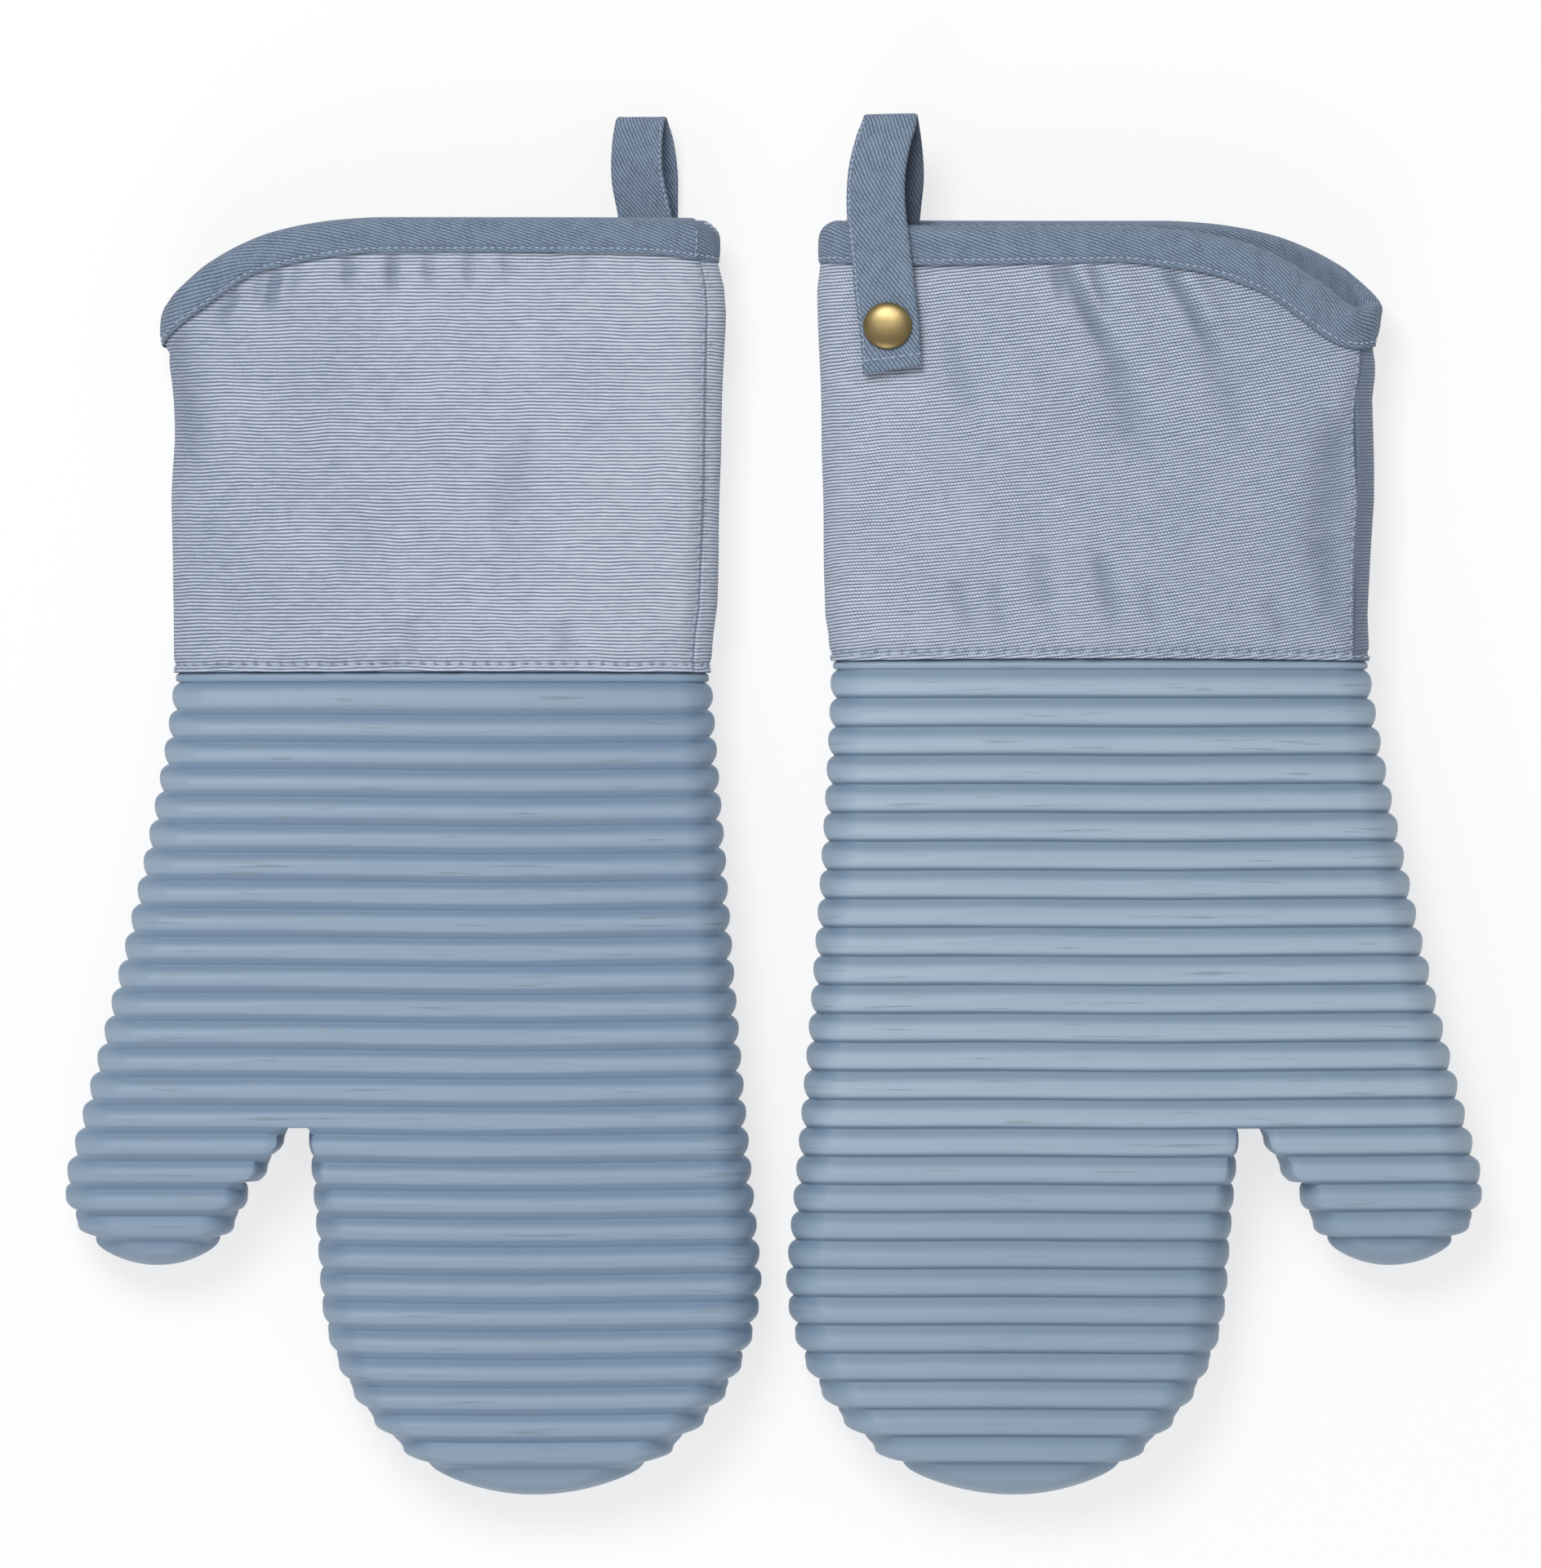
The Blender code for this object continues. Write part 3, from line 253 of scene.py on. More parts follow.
def halfHeight(branch, x, y, inset, relief):
    # crowned plateau: thickness · (1 - crown · |x - middle|^power), closed by a quarter round at the tip
    m = mitt
    split = np.maximum(y, -m["crotchReach"])
    low, high = pinkyEdge(split, 0.0), thumbEdge(split, 0.0)
    middle, halfWidth = (low + high) / 2, (high - low) / 2
    thick = table(y, [
        (m["cuffHeight"], m["mouthHalf"]), (0, m["hemHalf"]), (-m["palmReach"], m["palmHalf"]),
        (-m["crotchReach"], m["palmHalf"]), (-m["widestReach"], m["knuckleHalf"])])
    crown = table(y, [(0, m["cuffCrown"]), (-m["palmReach"], m["siliconeCrown"])])
    tipLift = 1.0
    if branch != "whole":
        share = ease((-m["crotchReach"] + inset - y) / m["splitBlend"])
        if branch == "hand":
            reach, rounding = m["fingerReach"], m["fingerTipRound"]
            own = (-m["pinkySideAtWidest"], m["fingerInnerAtWidest"])
        else:
            reach, rounding = m["thumbReach"], m["thumbTipRound"]
            own = (float(thumbInnerEdge(-m["thumbWidestReach"], 0.0)), m["thumbSideAtWidest"])
            thick = mix(thick, m["thumbHalf"], share)
        middle = mix(middle, sum(own) / 2, share)
        halfWidth = mix(halfWidth, (own[1] - own[0]) / 2, share)
        leftOver = np.clip((y + reach - inset) / rounding, 0, 1)
        tipLift = np.sqrt(1 - (1 - leftOver) ** 2)
    dome = 1 - crown * np.clip(np.abs(x - middle) / halfWidth, 0, 1) ** m["crownPower"]
    tall = (thick * dome - inset - relief) * tipLift
    return np.minimum(tall, m["palmHalf"] - m["footCut"] - inset)


def section(branch, y, inset=0.0, relief=0.0, outlineY=None, lowest=0.0):
    # points of the front half of one or many sections, columns on the last axis but one
    y = np.asarray(y, float)
    outlineY = y if outlineY is None else outlineY
    x, lift = sectionX(branch, y, inset, relief, outlineY)
    z = np.maximum(halfHeight(branch, x, y, inset, relief) * lift, lowest)
    return np.stack([x, np.broadcast_to(y, x.shape), z], axis=-1)


def waves(x, y, seed, shortest, longest, count=9):
    # smooth unevenness: the mean of sine waves in seeded directions, between two wavelengths
    random = np.random.default_rng(seed)
    total = np.zeros(np.broadcast(x, y).shape)
    for _ in range(count):
        length = random.uniform(shortest, longest)
        heading, phase = random.uniform(0, 2 * math.pi, 2)
        total += np.sin((x * math.cos(heading) + y * math.sin(heading)) * 2 * math.pi / length + phase)
    return total / math.sqrt(count)


def gridFaces(rows, columns, offset=0):
    # quads of a grid of rows by columns, as corner numbers
    at = offset + np.arange(rows * columns).reshape(rows, columns)
    return np.stack([at[:-1, :-1], at[1:, :-1], at[1:, 1:], at[:-1, 1:]], axis=-1).reshape(-1, 4)


def mirrored(points):
    # z to -z, from the front to the back
    return points * np.array([1.0, 1.0, -1.0])


def laid(points, side):
    # x + out(y) · ease((|x| - stillHalf) / ramp) towards its own side, y + up(y), both from the tables
    x, y = points[:, 0], points[:, 1]
    rows = lie[side]
    out = np.where(x > 0, table(y, rows["thumb"]), -table(y, rows["pinky"]))
    atSide = ease((np.abs(x) - lie["stillHalf"]) / lie["ramp"])
    return np.stack([x + out * atSide, y + table(y, rows["rows"]), points[:, 2]], axis=-1)


def placed(points, side):
    # from a mitt's own frame in mm to the scene's in metres; the left mitt is turned about y
    turn = turns[side]
    loopTop = mitt["cuffHeight"] + mitt["loopRise"]
    shift = np.array([turn * mitt["spacing"] / 2, (mitt["fingerReach"] - loopTop) / 2,
                      mitt["palmHalf"] - mitt["footCut"]])
    return (laid(points, side) * np.array([turn, 1.0, turn]) + shift) * 0.001


def meshPiece(name, grids, side, uvs=None, tones=None, merge=0.0005):
    # one object from grids of points in mm; shared borders are merged and faces turned outwards; the
    # tones, one for each point, are read by the material
    faces, offset = [], 0
    for grid in grids:
        rows, columns = grid.shape[:2]
        faces.append(gridFaces(rows, columns, offset))
        offset += rows * columns
    points = np.concatenate([grid.reshape(-1, 3) for grid in grids])
    mesh = bpy.data.meshes.new(name)
    mesh.from_pydata(placed(points, side), [], np.concatenate(faces))
    if tones is not None:
        mesh.attributes.new("tone", "FLOAT", "POINT").data.foreach_set(
            "value", np.concatenate([tone.ravel() for tone in tones]))
    if uvs is not None:
        corners = np.empty(len(mesh.loops), int)
        mesh.loops.foreach_get("vertex_index", corners)
        coordinates = np.concatenate([uv.reshape(-1, 2) for uv in uvs])
        mesh.uv_layers.new(name="UVMap").data.foreach_set("uv", coordinates[corners].ravel())
    shape = bmesh.new()
    shape.from_mesh(mesh)
    bmesh.ops.remove_doubles(shape, verts=shape.verts, dist=merge * 0.001)
    bmesh.ops.recalc_face_normals(shape, faces=shape.faces)
    shape.to_mesh(mesh)
    shape.free()
    mesh.shade_smooth()
    made = bpy.data.objects.new(name, mesh)
    bpy.context.scene.collection.objects.link(made)
    return made


def thicken(piece, thickness):
    # cloth, from its outer face inwards
    wall = piece.modifiers.new("cloth", "SOLIDIFY")
    wall.thickness, wall.offset = thickness * 0.001, -1.0


def finished(piece, material, slot, body, *nodes):
    # material, the record's slot, which is not used, the body it rides on and the solids it stands for
    piece.data.materials.append(material)
    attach(piece, body)
    if nodes:
        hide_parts(*nodes)


# Materials

def linear(colour):
    # sRGB hex to linear: ((c + 0.055) / 1.055)^2.4, or c / 12.92 for dark values
    values = [int(colour[at:at + 2], 16) / 255 for at in (1, 3, 5)]
    return [*[((c + 0.055) / 1.055) ** 2.4 if c > 0.04045 else c / 12.92 for c in values], 1.0]


def addNode(tree, kind, inputs=(), **settings):
    # one node with its settings; an input is a value or another node's output
    made = tree.nodes.new(kind)
    for name, value in settings.items():
        setattr(made, name, value)
    for socket, value in dict(inputs).items():
        if isinstance(value, bpy.types.NodeSocket):
            tree.links.new(value, made.inputs[socket])
        else:
            made.inputs[socket].default_value = value
    return made


def newMaterial(name, **values):
    # a principled surface with these values; an underscore in a name stands for a space
    made = bpy.data.materials.new(name)
    made.use_nodes = True
    surface = made.node_tree.nodes["Principled BSDF"]
    for socket, value in values.items():
        surface.inputs[socket.replace("_", " ")].default_value = value
    return made, made.node_tree, surface


def calc(tree, operation, first, second=0.0, third=0.0):
    # one number from up to three; returns the output socket
    return addNode(tree, "ShaderNodeMath", {0: first, 1: second, 2: third}, operation=operation).outputs[0]


def halfWave(tree, place):
    # 0.5 + 0.5 cos(2 pi place)
    wave = calc(tree, "COSINE", calc(tree, "MULTIPLY", place, 2 * math.pi))
    return calc(tree, "MULTIPLY_ADD", wave, 0.5, 0.5)


def noise(tree, place, scale, detail=2.0):
    # smooth random pattern round 0.5, with scale waves to the unit of the place
    return addNode(tree, "ShaderNodeTexNoise", {
        "Vector": place, "Scale": scale, "Detail": detail}).outputs["Fac"]


def ramp(tree, value, start, end, least=0.0, most=1.0, **settings):
    # least at the start to most at the end, and held beyond them
    return addNode(tree, "ShaderNodeMapRange", {
        "Value": value, "From Min": start, "From Max": end, "To Min": least, "To Max": most},
        **settings).outputs[0]


def blendColours(tree, share, first, second):
    # colours are sRGB hex or another node's output
    first, second = (linear(colour) if isinstance(colour, str) else colour for colour in (first, second))
    return addNode(tree, "ShaderNodeMix", {0: share, 6: first, 7: second}, data_type="RGBA").outputs[2]


def objectPlace(tree):
    # the point's place on its object, in metres
    return addNode(tree, "ShaderNodeTexCoord").outputs["Object"]


def uvPlace(tree):
    # UV maps are in millimetres
    return addNode(tree, "ShaderNodeUVMap", uv_map="UVMap").outputs[0]


def toneOf(tree):
    # the tone that meshPiece stored with the point
    return addNode(tree, "ShaderNodeAttribute", attribute_name="tone").outputs["Fac"]


def coloured(tree, surface, colour, height=None, depth=0.0, strength=0.0):
    # the surface's colour, and a bump of a depth in millimetres where there is a height
    tree.links.new(colour, surface.inputs["Base Color"])
    if height is not None:
        bump = addNode(tree, "ShaderNodeBump", {
            "Height": height, "Distance": depth * 0.001, "Strength": strength})
        tree.links.new(bump.outputs[0], surface.inputs["Normal"])


# Silicone colours: each groove colour is darkened as painted shade and each crest colour paled as painted
# light, set apart for each mitt
silicone = {
    "rightGroove": "#8198B0", "rightCrest": "#A9BDCF", "leftGroove": "#8199B3", "leftCrest": "#99ADC2",
    "scuffColour": "#7F8A96", "speckColour": "#D3DCE6", "patchiness": 0.5, "roughness": 0.48,
    "cloudLength": 60.0, "scuffLength": 24.0, "scuffWidth": 1.1, "scuffFrom": (0.62, 0.70), "scuffMost": 0.62,
    "speckPitch": 5.0, "speckFrom": (0.025, 0.015), "speckMost": 0.6, "grainSize": 0.35, "grainDepth": 0.01,
}


def siliconeMaterial(side):
    # moulded silicone: grey-blue, with painted shade in the grooves and painted light, paler, on the ribs'
    # crests, with faint scuffs
    s = silicone
    made, tree, surface = newMaterial(f"{side}Silicone", Roughness=s["roughness"], IOR=1.41)
    place = objectPlace(tree)
    cloud = noise(tree, place, 1000 / s["cloudLength"], 3.0)
    litTone = toneOf(tree)
    # the tone mixes the grooves' painted shade with the crests' painted light, unevenly in patches
    patchy = calc(tree, "MULTIPLY_ADD", cloud, s["patchiness"], 1 - s["patchiness"] / 2)
    clouded = blendColours(tree, calc(tree, "MULTIPLY", litTone, patchy), s[f"{side}Groove"], s[f"{side}Crest"])
    streakPlace = addNode(tree, "ShaderNodeMapping", {
        "Vector": place, "Scale": (1000 / s["scuffLength"], 1000 / s["scuffWidth"], 1.0)}).outputs[0]
    scuff = ramp(tree, noise(tree, streakPlace, 1.0), *s["scuffFrom"], most=s["scuffMost"])
    scuffed = blendColours(tree, calc(tree, "MULTIPLY", scuff, litTone), clouded, s["scuffColour"])
    speckCell = addNode(tree, "ShaderNodeTexVoronoi", {
        "Vector": place, "Scale": 1000 / s["speckPitch"]}).outputs["Distance"]
    speck = ramp(tree, speckCell, *s["speckFrom"], most=s["speckMost"])
    speckled = blendColours(tree, speck, scuffed, s["speckColour"])
    coloured(tree, surface, speckled, noise(tree, place, 1000 / s["grainSize"]), s["grainDepth"], 0.3)
    return made


# The sides' contrast, level and beads colour one cloth as each cuff is lit, painted light and shade; the
# slope across the cuff is painted light
canvas = {
    "lightColour": "#DBE3F1", "midColour": "#7F8FA9", "darkColour": "#47546C", "shadeColour": "#62718A",
    "contrast": {"right": 2.0, "left": 1.3}, "level": {"right": 0.45, "left": 0.54},
    "beads": {"right": 0.6, "left": 0.2}, "falloff": {"right": -0.22, "left": 0.26}, "sideLightLength": 110.0,
    "rowPitch": 0.88, "beadPitch": 0.80, "tickPitch": 0.53, "beadLean": 0.45, "wobble": 1.6,
    "slub": 0.5, "fuzz": 0.9, "cloud": 0.35, "gapFrom": (0.25, 0.8), "depth": 0.16, "rowPower": 1.3,
    "wobbleScale": 0.06, "fuzzScale": 1.6, "cloudScale": 0.045, "slubStep": (0.25, 7.31), "gapSlub": 0.6,
}


def canvasMaterial(name, side):
    # plain-woven canvas: pale weft rows, cos^1.3 across each; beads along them and dark ticks between them,
    # the crests paler and the gaps darker partly as painted light and shade on the weave; painted light makes
    # it lighter towards the pinky's side by (X - centre) / length, and painted shade darkens it where the
    # tone says so
    c = canvas
    made, tree, surface = newMaterial(name, Roughness=0.85, Sheen_Weight=0.1, Sheen_Roughness=0.5)
    uv = uvPlace(tree)
    wobble = addNode(tree, "ShaderNodeTexNoise", {"Vector": uv, "Scale": c["wobbleScale"], "Detail": 3.0})
    shift = addNode(tree, "ShaderNodeVectorMath", {0: wobble.outputs["Color"], 1: (0.5, 0.5, 0.5)},
                    operation="SUBTRACT").outputs[0]
    shift = addNode(tree, "ShaderNodeVectorMath", {0: shift, "Scale": c["wobble"]},
                    operation="SCALE").outputs[0]
    bent = addNode(tree, "ShaderNodeVectorMath", {0: uv, 1: shift}, operation="ADD").outputs[0]
    x, y, _ = addNode(tree, "ShaderNodeSeparateXYZ", {0: bent}).outputs
    # rows, each second one shifted by half a bead
    place = calc(tree, "DIVIDE", y, c["rowPitch"])
    row = calc(tree, "FLOOR", place)
    inRow = calc(tree, "SUBTRACT", calc(tree, "FRACT", place), 0.5)
    odd = calc(tree, "FLOORED_MODULO", row, 2.0)
    rowWave = calc(tree, "COSINE", calc(tree, "MULTIPLY", inRow, math.pi))
    rowHeight = calc(tree, "POWER", rowWave, c["rowPower"])
    lean = calc(tree, "MULTIPLY", inRow, c["beadLean"])
    bead = halfWave(tree, calc(tree, "ADD", calc(tree, "DIVIDE", x, c["beadPitch"]),
                               calc(tree, "MULTIPLY_ADD", odd, 0.5, lean)))
    tick = halfWave(tree, calc(tree, "MULTIPLY_ADD", odd, 0.5, calc(tree, "DIVIDE", x, c["tickPitch"])))
    # each row's yarn is thicker and thinner along its length; the cloth is fuzzy and clouded
    yarnPlace = addNode(tree, "ShaderNodeCombineXYZ", {
        "X": calc(tree, "MULTIPLY", x, c["slubStep"][0]),
        "Y": calc(tree, "MULTIPLY", row, c["slubStep"][1])}).outputs[0]
    yarn, fuzz, cloud = (calc(tree, "SUBTRACT", noise(tree, *values), 0.5) for values in (
        (yarnPlace, 1.0), (uv, c["fuzzScale"]), (uv, c["cloudScale"], 4.0)))
    beads, contrast = c["beads"][side], c["contrast"][side]
    high = calc(tree, "MULTIPLY", rowHeight, calc(tree, "MULTIPLY_ADD", bead, beads, 1.0 - beads))
    middle = 0.6 * (1 - beads / 2)
    marked = calc(tree, "MULTIPLY_ADD", high, contrast, c["level"][side] - contrast * middle)
    uneven = calc(tree, "MULTIPLY_ADD", yarn, c["slub"], calc(tree, "MULTIPLY", fuzz, c["fuzz"]))
    uneven = calc(tree, "MULTIPLY_ADD", cloud, c["cloud"], uneven)
    # painted light: lighter towards the pinky's side, across the cuff
    falloff = c["falloff"][side] * 1000 / c["sideLightLength"]
    objectX = addNode(tree, "ShaderNodeSeparateXYZ", {0: objectPlace(tree)}).outputs["X"]
    sideLit = calc(tree, "MULTIPLY_ADD", objectX, falloff, -falloff * turns[side] * mitt["spacing"] / 2 * 0.001)
    lit = calc(tree, "ADD", calc(tree, "ADD", marked, uneven), sideLit)
    gap = calc(tree, "MULTIPLY", calc(tree, "SUBTRACT", 1.0, rowHeight), tick)
    uncovered = calc(tree, "SUBTRACT", gap, calc(tree, "MULTIPLY", yarn, c["gapSlub"]))
    dark = ramp(tree, uncovered, *c["gapFrom"])
    pale = blendColours(tree, lit, c["midColour"], c["lightColour"])
    woven = blendColours(tree, dark, pale, c["darkColour"])
    coloured(tree, surface, blendColours(tree, toneOf(tree), woven, c["shadeColour"]), high, c["depth"], 0.7)
    return made


twill = {
    "lightColour": "#8C9EB4", "darkColour": "#506076", "shadeColour": "#2F3A49", "linePitch": 0.92,
    "biasPitch": 0.80, "tapeSlope": 1.55, "biasSlope": 0.34, "floatLength": 1.9, "grooveFrom": (0.18, 0.48),
    "dip": 0.35, "cloud": 0.9, "depth": 0.12, "wobbleScale": 0.15, "cloudScale": 0.3, "floatShift": 0.37,
}


def twillMaterial(name, slope, pitch):
    # cotton twill: diagonal ridges of floating threads, dy = -slope · dx, with grooves between them
    made, tree, surface = newMaterial(name, Roughness=0.85, Sheen_Weight=0.1, Sheen_Roughness=0.5)
    uv = uvPlace(tree)
    wobble = noise(tree, uv, twill["wobbleScale"])
    x, y, _ = addNode(tree, "ShaderNodeSeparateXYZ", {0: uv}).outputs
    length = math.hypot(1.0, slope)
    across = calc(tree, "MULTIPLY_ADD", x, slope / length, calc(tree, "DIVIDE", y, length))
    along = calc(tree, "MULTIPLY_ADD", y, -slope / length, calc(tree, "DIVIDE", x, length))
    linePlace = calc(tree, "ADD", wobble, calc(tree, "DIVIDE", across, pitch))
    line = calc(tree, "FLOOR", linePlace)
    inLine = calc(tree, "ABSOLUTE", calc(tree, "SUBTRACT", calc(tree, "FRACT", linePlace), 0.5))
    groove = ramp(tree, inLine, *twill["grooveFrom"], interpolation_type="SMOOTHSTEP")
    # each float ends in a dip, |cos(pi place)|^8
    floatPlace = calc(tree, "MULTIPLY_ADD", line, twill["floatShift"],
                      calc(tree, "DIVIDE", along, twill["floatLength"]))
    dip = calc(tree, "POWER", calc(tree, "ABSOLUTE", calc(tree, "COSINE", calc(
        tree, "MULTIPLY", floatPlace, math.pi))), 8.0)
    shade = calc(tree, "MAXIMUM", groove, calc(tree, "MULTIPLY", dip, twill["dip"]))
    cloud = calc(tree, "SUBTRACT", noise(tree, uv, twill["cloudScale"], 5.0), 0.5)
    shaded = calc(tree, "MULTIPLY_ADD", cloud, twill["cloud"], shade)
    ridged = blendColours(tree, shaded, twill["lightColour"], twill["darkColour"])
    colour = blendColours(tree, toneOf(tree), ridged, twill["shadeColour"])
    coloured(tree, surface, colour, calc(tree, "SUBTRACT", 1.0, shade), twill["depth"], 0.7)
    return made


def cloudedMaterial(name, scale, detail, first, second, **values):
    # two colours in a random pattern with scale waves to the metre
    made, tree, surface = newMaterial(name, **values)
    cloud = noise(tree, objectPlace(tree), scale, detail)
    coloured(tree, surface, blendColours(tree, cloud, first, second))
    return made, tree, surface, cloud


def threadMaterial():
    # polyester sewing thread: pale and slightly glossy, with a fine twist
    return cloudedMaterial("sewingThread", 3000.0, 2.0, "#C3CFE1", "#A2B3CC", Roughness=0.55)[0]


def battingMaterial():
    # needled polyester batting: matt off-white fibre
    return cloudedMaterial("polyesterBatting", 900.0, 5.0, "#F2F0EA", "#D9D6CC", Roughness=1.0)[0]


def brassMaterial():
    # antique brass: a satin yellow-brown plating, darker and rougher in patches where it is toned
    made, tree, surface, cloud = cloudedMaterial(
        "antiqueBrass", 250.0, 4.0, "#B29E70", "#7E6B46", Metallic=1.0)
    tree.links.new(ramp(tree, cloud, 0.0, 1.0, 0.30, 0.46), surface.inputs["Roughness"])
    return made


def liningMaterial():
    # plain cotton lining, in a fine even weave
    made, tree, surface = newMaterial("cottonLining", Roughness=0.9)
    weave = addNode(tree, "ShaderNodeTexChecker", {"Vector": uvPlace(tree), "Scale": 2.0}).outputs["Fac"]
    coloured(tree, surface, blendColours(tree, weave, "#8496AE", "#74869E"))
    return made


materials = {
    "rightSilicone": siliconeMaterial("right"), "leftSilicone": siliconeMaterial("left"),
    # one cloth, coloured as each cuff is lit: painted light
    "rightCanvas": canvasMaterial("rightLitCanvas", "right"),
    "leftCanvas": canvasMaterial("leftLitCanvas", "left"),
    "tape": twillMaterial("twillTape", twill["tapeSlope"], twill["linePitch"]),
    "bias": twillMaterial("biasTwill", twill["biasSlope"], twill["biasPitch"]),
    "thread": threadMaterial(), "brass": brassMaterial(),
    "lining": liningMaterial(), "batting": battingMaterial(),
}
print("materials made")

# Silicone shells

# the lip's tone and the tips' share set the painted light on the ribs there
ribs = {
    "depth": 1.8, "toCrotch": 16, "lipHeight": 2.1, "lipLap": 8.0, "leastRib": 0.5, "leastTipRib": 0.6,
    "wallBehind": 1.8, "unevenness": 0.2, "drift": 0.3, "stillBelowHem": 20.0, "lipLitTone": 0.6,
    "tipLightShare": {"right": 0.5, "left": 0.85}, "tipLightStart": 105.0, "tipLightRamp": 45.0,
    "hollowLevels": (-25.0, -55.0, -87.0), "seed": {"right": 11, "left": 23}, "unevenLengths": (35, 110),
    "driftLengths": (60, 160), "faceLift": 0.2, "faceRamp": 0.7, "leastTipShare": 0.12,
}

# Section of the lip as (level, inset), from its lap under the cuff down to the first rib
lipSection = np.array([(ribs["lipLap"], 2.4), (-0.15, 1.2), (-0.3, 0.75), (-0.7, 0.55), (-1.2, 0.5),
                       (-1.7, 0.62), (-2.0, 1.1)])

# Rib from one crease to the next, as (share of the pitch, depth below the crest): at the mitt's sides,
# on its front, where each rib overhangs the next, and on its back, where the step between them slants
ribProfiles = {
    "side": [(0.0, 1.80), (0.02, 1.50), (0.045, 1.22), (0.075, 0.97), (0.11, 0.72), (0.16, 0.45),
             (0.22, 0.24), (0.30, 0.10), (0.40, 0.02), (0.50, 0.0), (0.60, 0.07), (0.69, 0.22),
             (0.77, 0.46), (0.85, 0.80), (0.91, 1.12), (0.96, 1.44), (1.0, 1.80)],
    "front": [(0.0, 1.55), (0.05, 1.48), (0.10, 1.37), (0.16, 1.21), (0.22, 1.03), (0.30, 0.77),
              (0.38, 0.52), (0.46, 0.31), (0.55, 0.13), (0.65, 0.03), (0.75, 0.0), (0.83, 0.06),
              (0.88, 0.20), (0.92, 0.42), (0.95, 0.68), (0.975, 1.02), (1.0, 1.55)],
    "back": [(0.0, 0.62), (0.05, 0.82), (0.10, 1.03), (0.15, 1.27), (0.20, 1.58), (0.235, 1.80),
             (0.27, 1.66), (0.32, 1.38), (0.38, 1.02), (0.45, 0.66), (0.52, 0.36), (0.60, 0.13),
             (0.68, 0.03), (0.77, 0.0), (0.85, 0.05), (0.91, 0.18), (0.96, 0.38), (1.0, 0.62)],
}

# On the back the rib next to the lip starts with a crease at the lip, so its upper part differs
firstBackRib = [(0.0, 1.55), (0.05, 1.20), (0.11, 0.86), (0.21, 0.52), (0.30, 0.32), (0.46, 0.14),
                (0.60, 0.04), (0.68, 0.03)]

# Rows of each rib, as shares of the pitch
ribPhases = np.array([0.0, 0.02, 0.05, 0.09, 0.14, 0.19, 0.235, 0.28, 0.34, 0.41, 0.50, 0.61, 0.72, 0.82,
                      0.88, 0.925, 0.96, 0.985])

# Painted light on a rib at a share of the pitch, on the front and on the back: 1 gives the crests' pale
# colour as painted light, 0 the grooves' darker colour as painted shade
paintedRibLight = {
    "front": [(0.0, 0.0), (0.15, 0.0), (0.24, 0.16), (0.33, 0.50), (0.42, 0.78), (0.56, 0.86), (0.72, 1.0),
              (0.80, 1.0), (0.86, 0.66), (0.92, 0.12), (0.96, 0.0), (1.0, 0.0)],
    "back": [(0.0, 0.2), (0.04, 0.0), (0.28, 0.0), (0.34, 0.12), (0.42, 0.34), (0.49, 0.62), (0.57, 0.90),
             (0.64, 1.0), (0.86, 1.0), (0.92, 0.84), (0.97, 0.46), (1.0, 0.2)],
}


def ribRows(start, end, toTip, face):
    # level, relief at the sides and on the face, outline level and painted light tone of each row; the
    # outline is read at the rib's middle + (y - middle) · |2 p - 1|
    pitch = (mitt["crotchReach"] - ribs["lipHeight"]) / ribs["toCrotch"]
    least = pitch * ribs["leastTipRib" if toTip else "leastRib"]
    creases = np.append(np.arange(start, end + least, -pitch), end)
    phase = ribPhases
    y = mix(creases[:-1, None], creases[1:, None], phase)
    middle = (creases[:-1] + creases[1:])[:, None] / 2
    outlineY = middle + (y - middle) * np.abs(2 * phase - 1)
    atSide, onFace, litTone = (np.tile(table(phase, stops), (len(y), 1)) for stops in (
        ribProfiles["side"], ribProfiles[face], paintedRibLight[face]))
    if face == "back" and not toTip:
        upper = phase < firstBackRib[-1][0]
        onFace[0, upper] = table(phase[upper], firstBackRib)
        litTone[0, upper] = np.maximum(litTone[0, upper], ease((phase[upper] - 0.12) / 0.4))
    last = [ribProfiles["side"][0][1], ribProfiles[face][0][1], 0.0]
    if toTip:
        # the last rib closes over the tip, without a crease
        outlineY[-1] = y[-1]
        atSide[-1, phase > 0.5] = onFace[-1, phase > 0.7] = 0.0
        litTone[-1] = np.maximum.accumulate(litTone[-1])
        last = [0.0, 0.0, 1.0]
    return [np.append(rows, value) for rows, value in zip(
        (y, atSide, onFace, outlineY, litTone), (end, *last[:2], end, last[2]))]


def ribbed(branch, reach, toTip, face):
    # grid of ribs of one branch, with its painted light tone; relief goes from the sides' to the face's with
    # the lift
    start = -ribs["lipHeight"] if branch == "whole" else -mitt["crotchReach"]
    y, atSide, onFace, outlineY, litTone = ribRows(start, -reach, toTip, face)
    stretch, share = layouts[branch]
    lift = np.where((stretch == 0) | (stretch == 4), np.sin(share * math.pi / 2), 1.0)
    relief = mix(atSide[:, None], onFace[:, None], ease((lift - ribs["faceLift"]) / ribs["faceRamp"]))
    grid = section(branch, y[:, None], 0.0, relief, outlineY[:, None])
    if toTip:
        grid = alongNormal(grid, relief, reach, branch)
    return grid, np.broadcast_to(litTone[:, None], relief.shape)


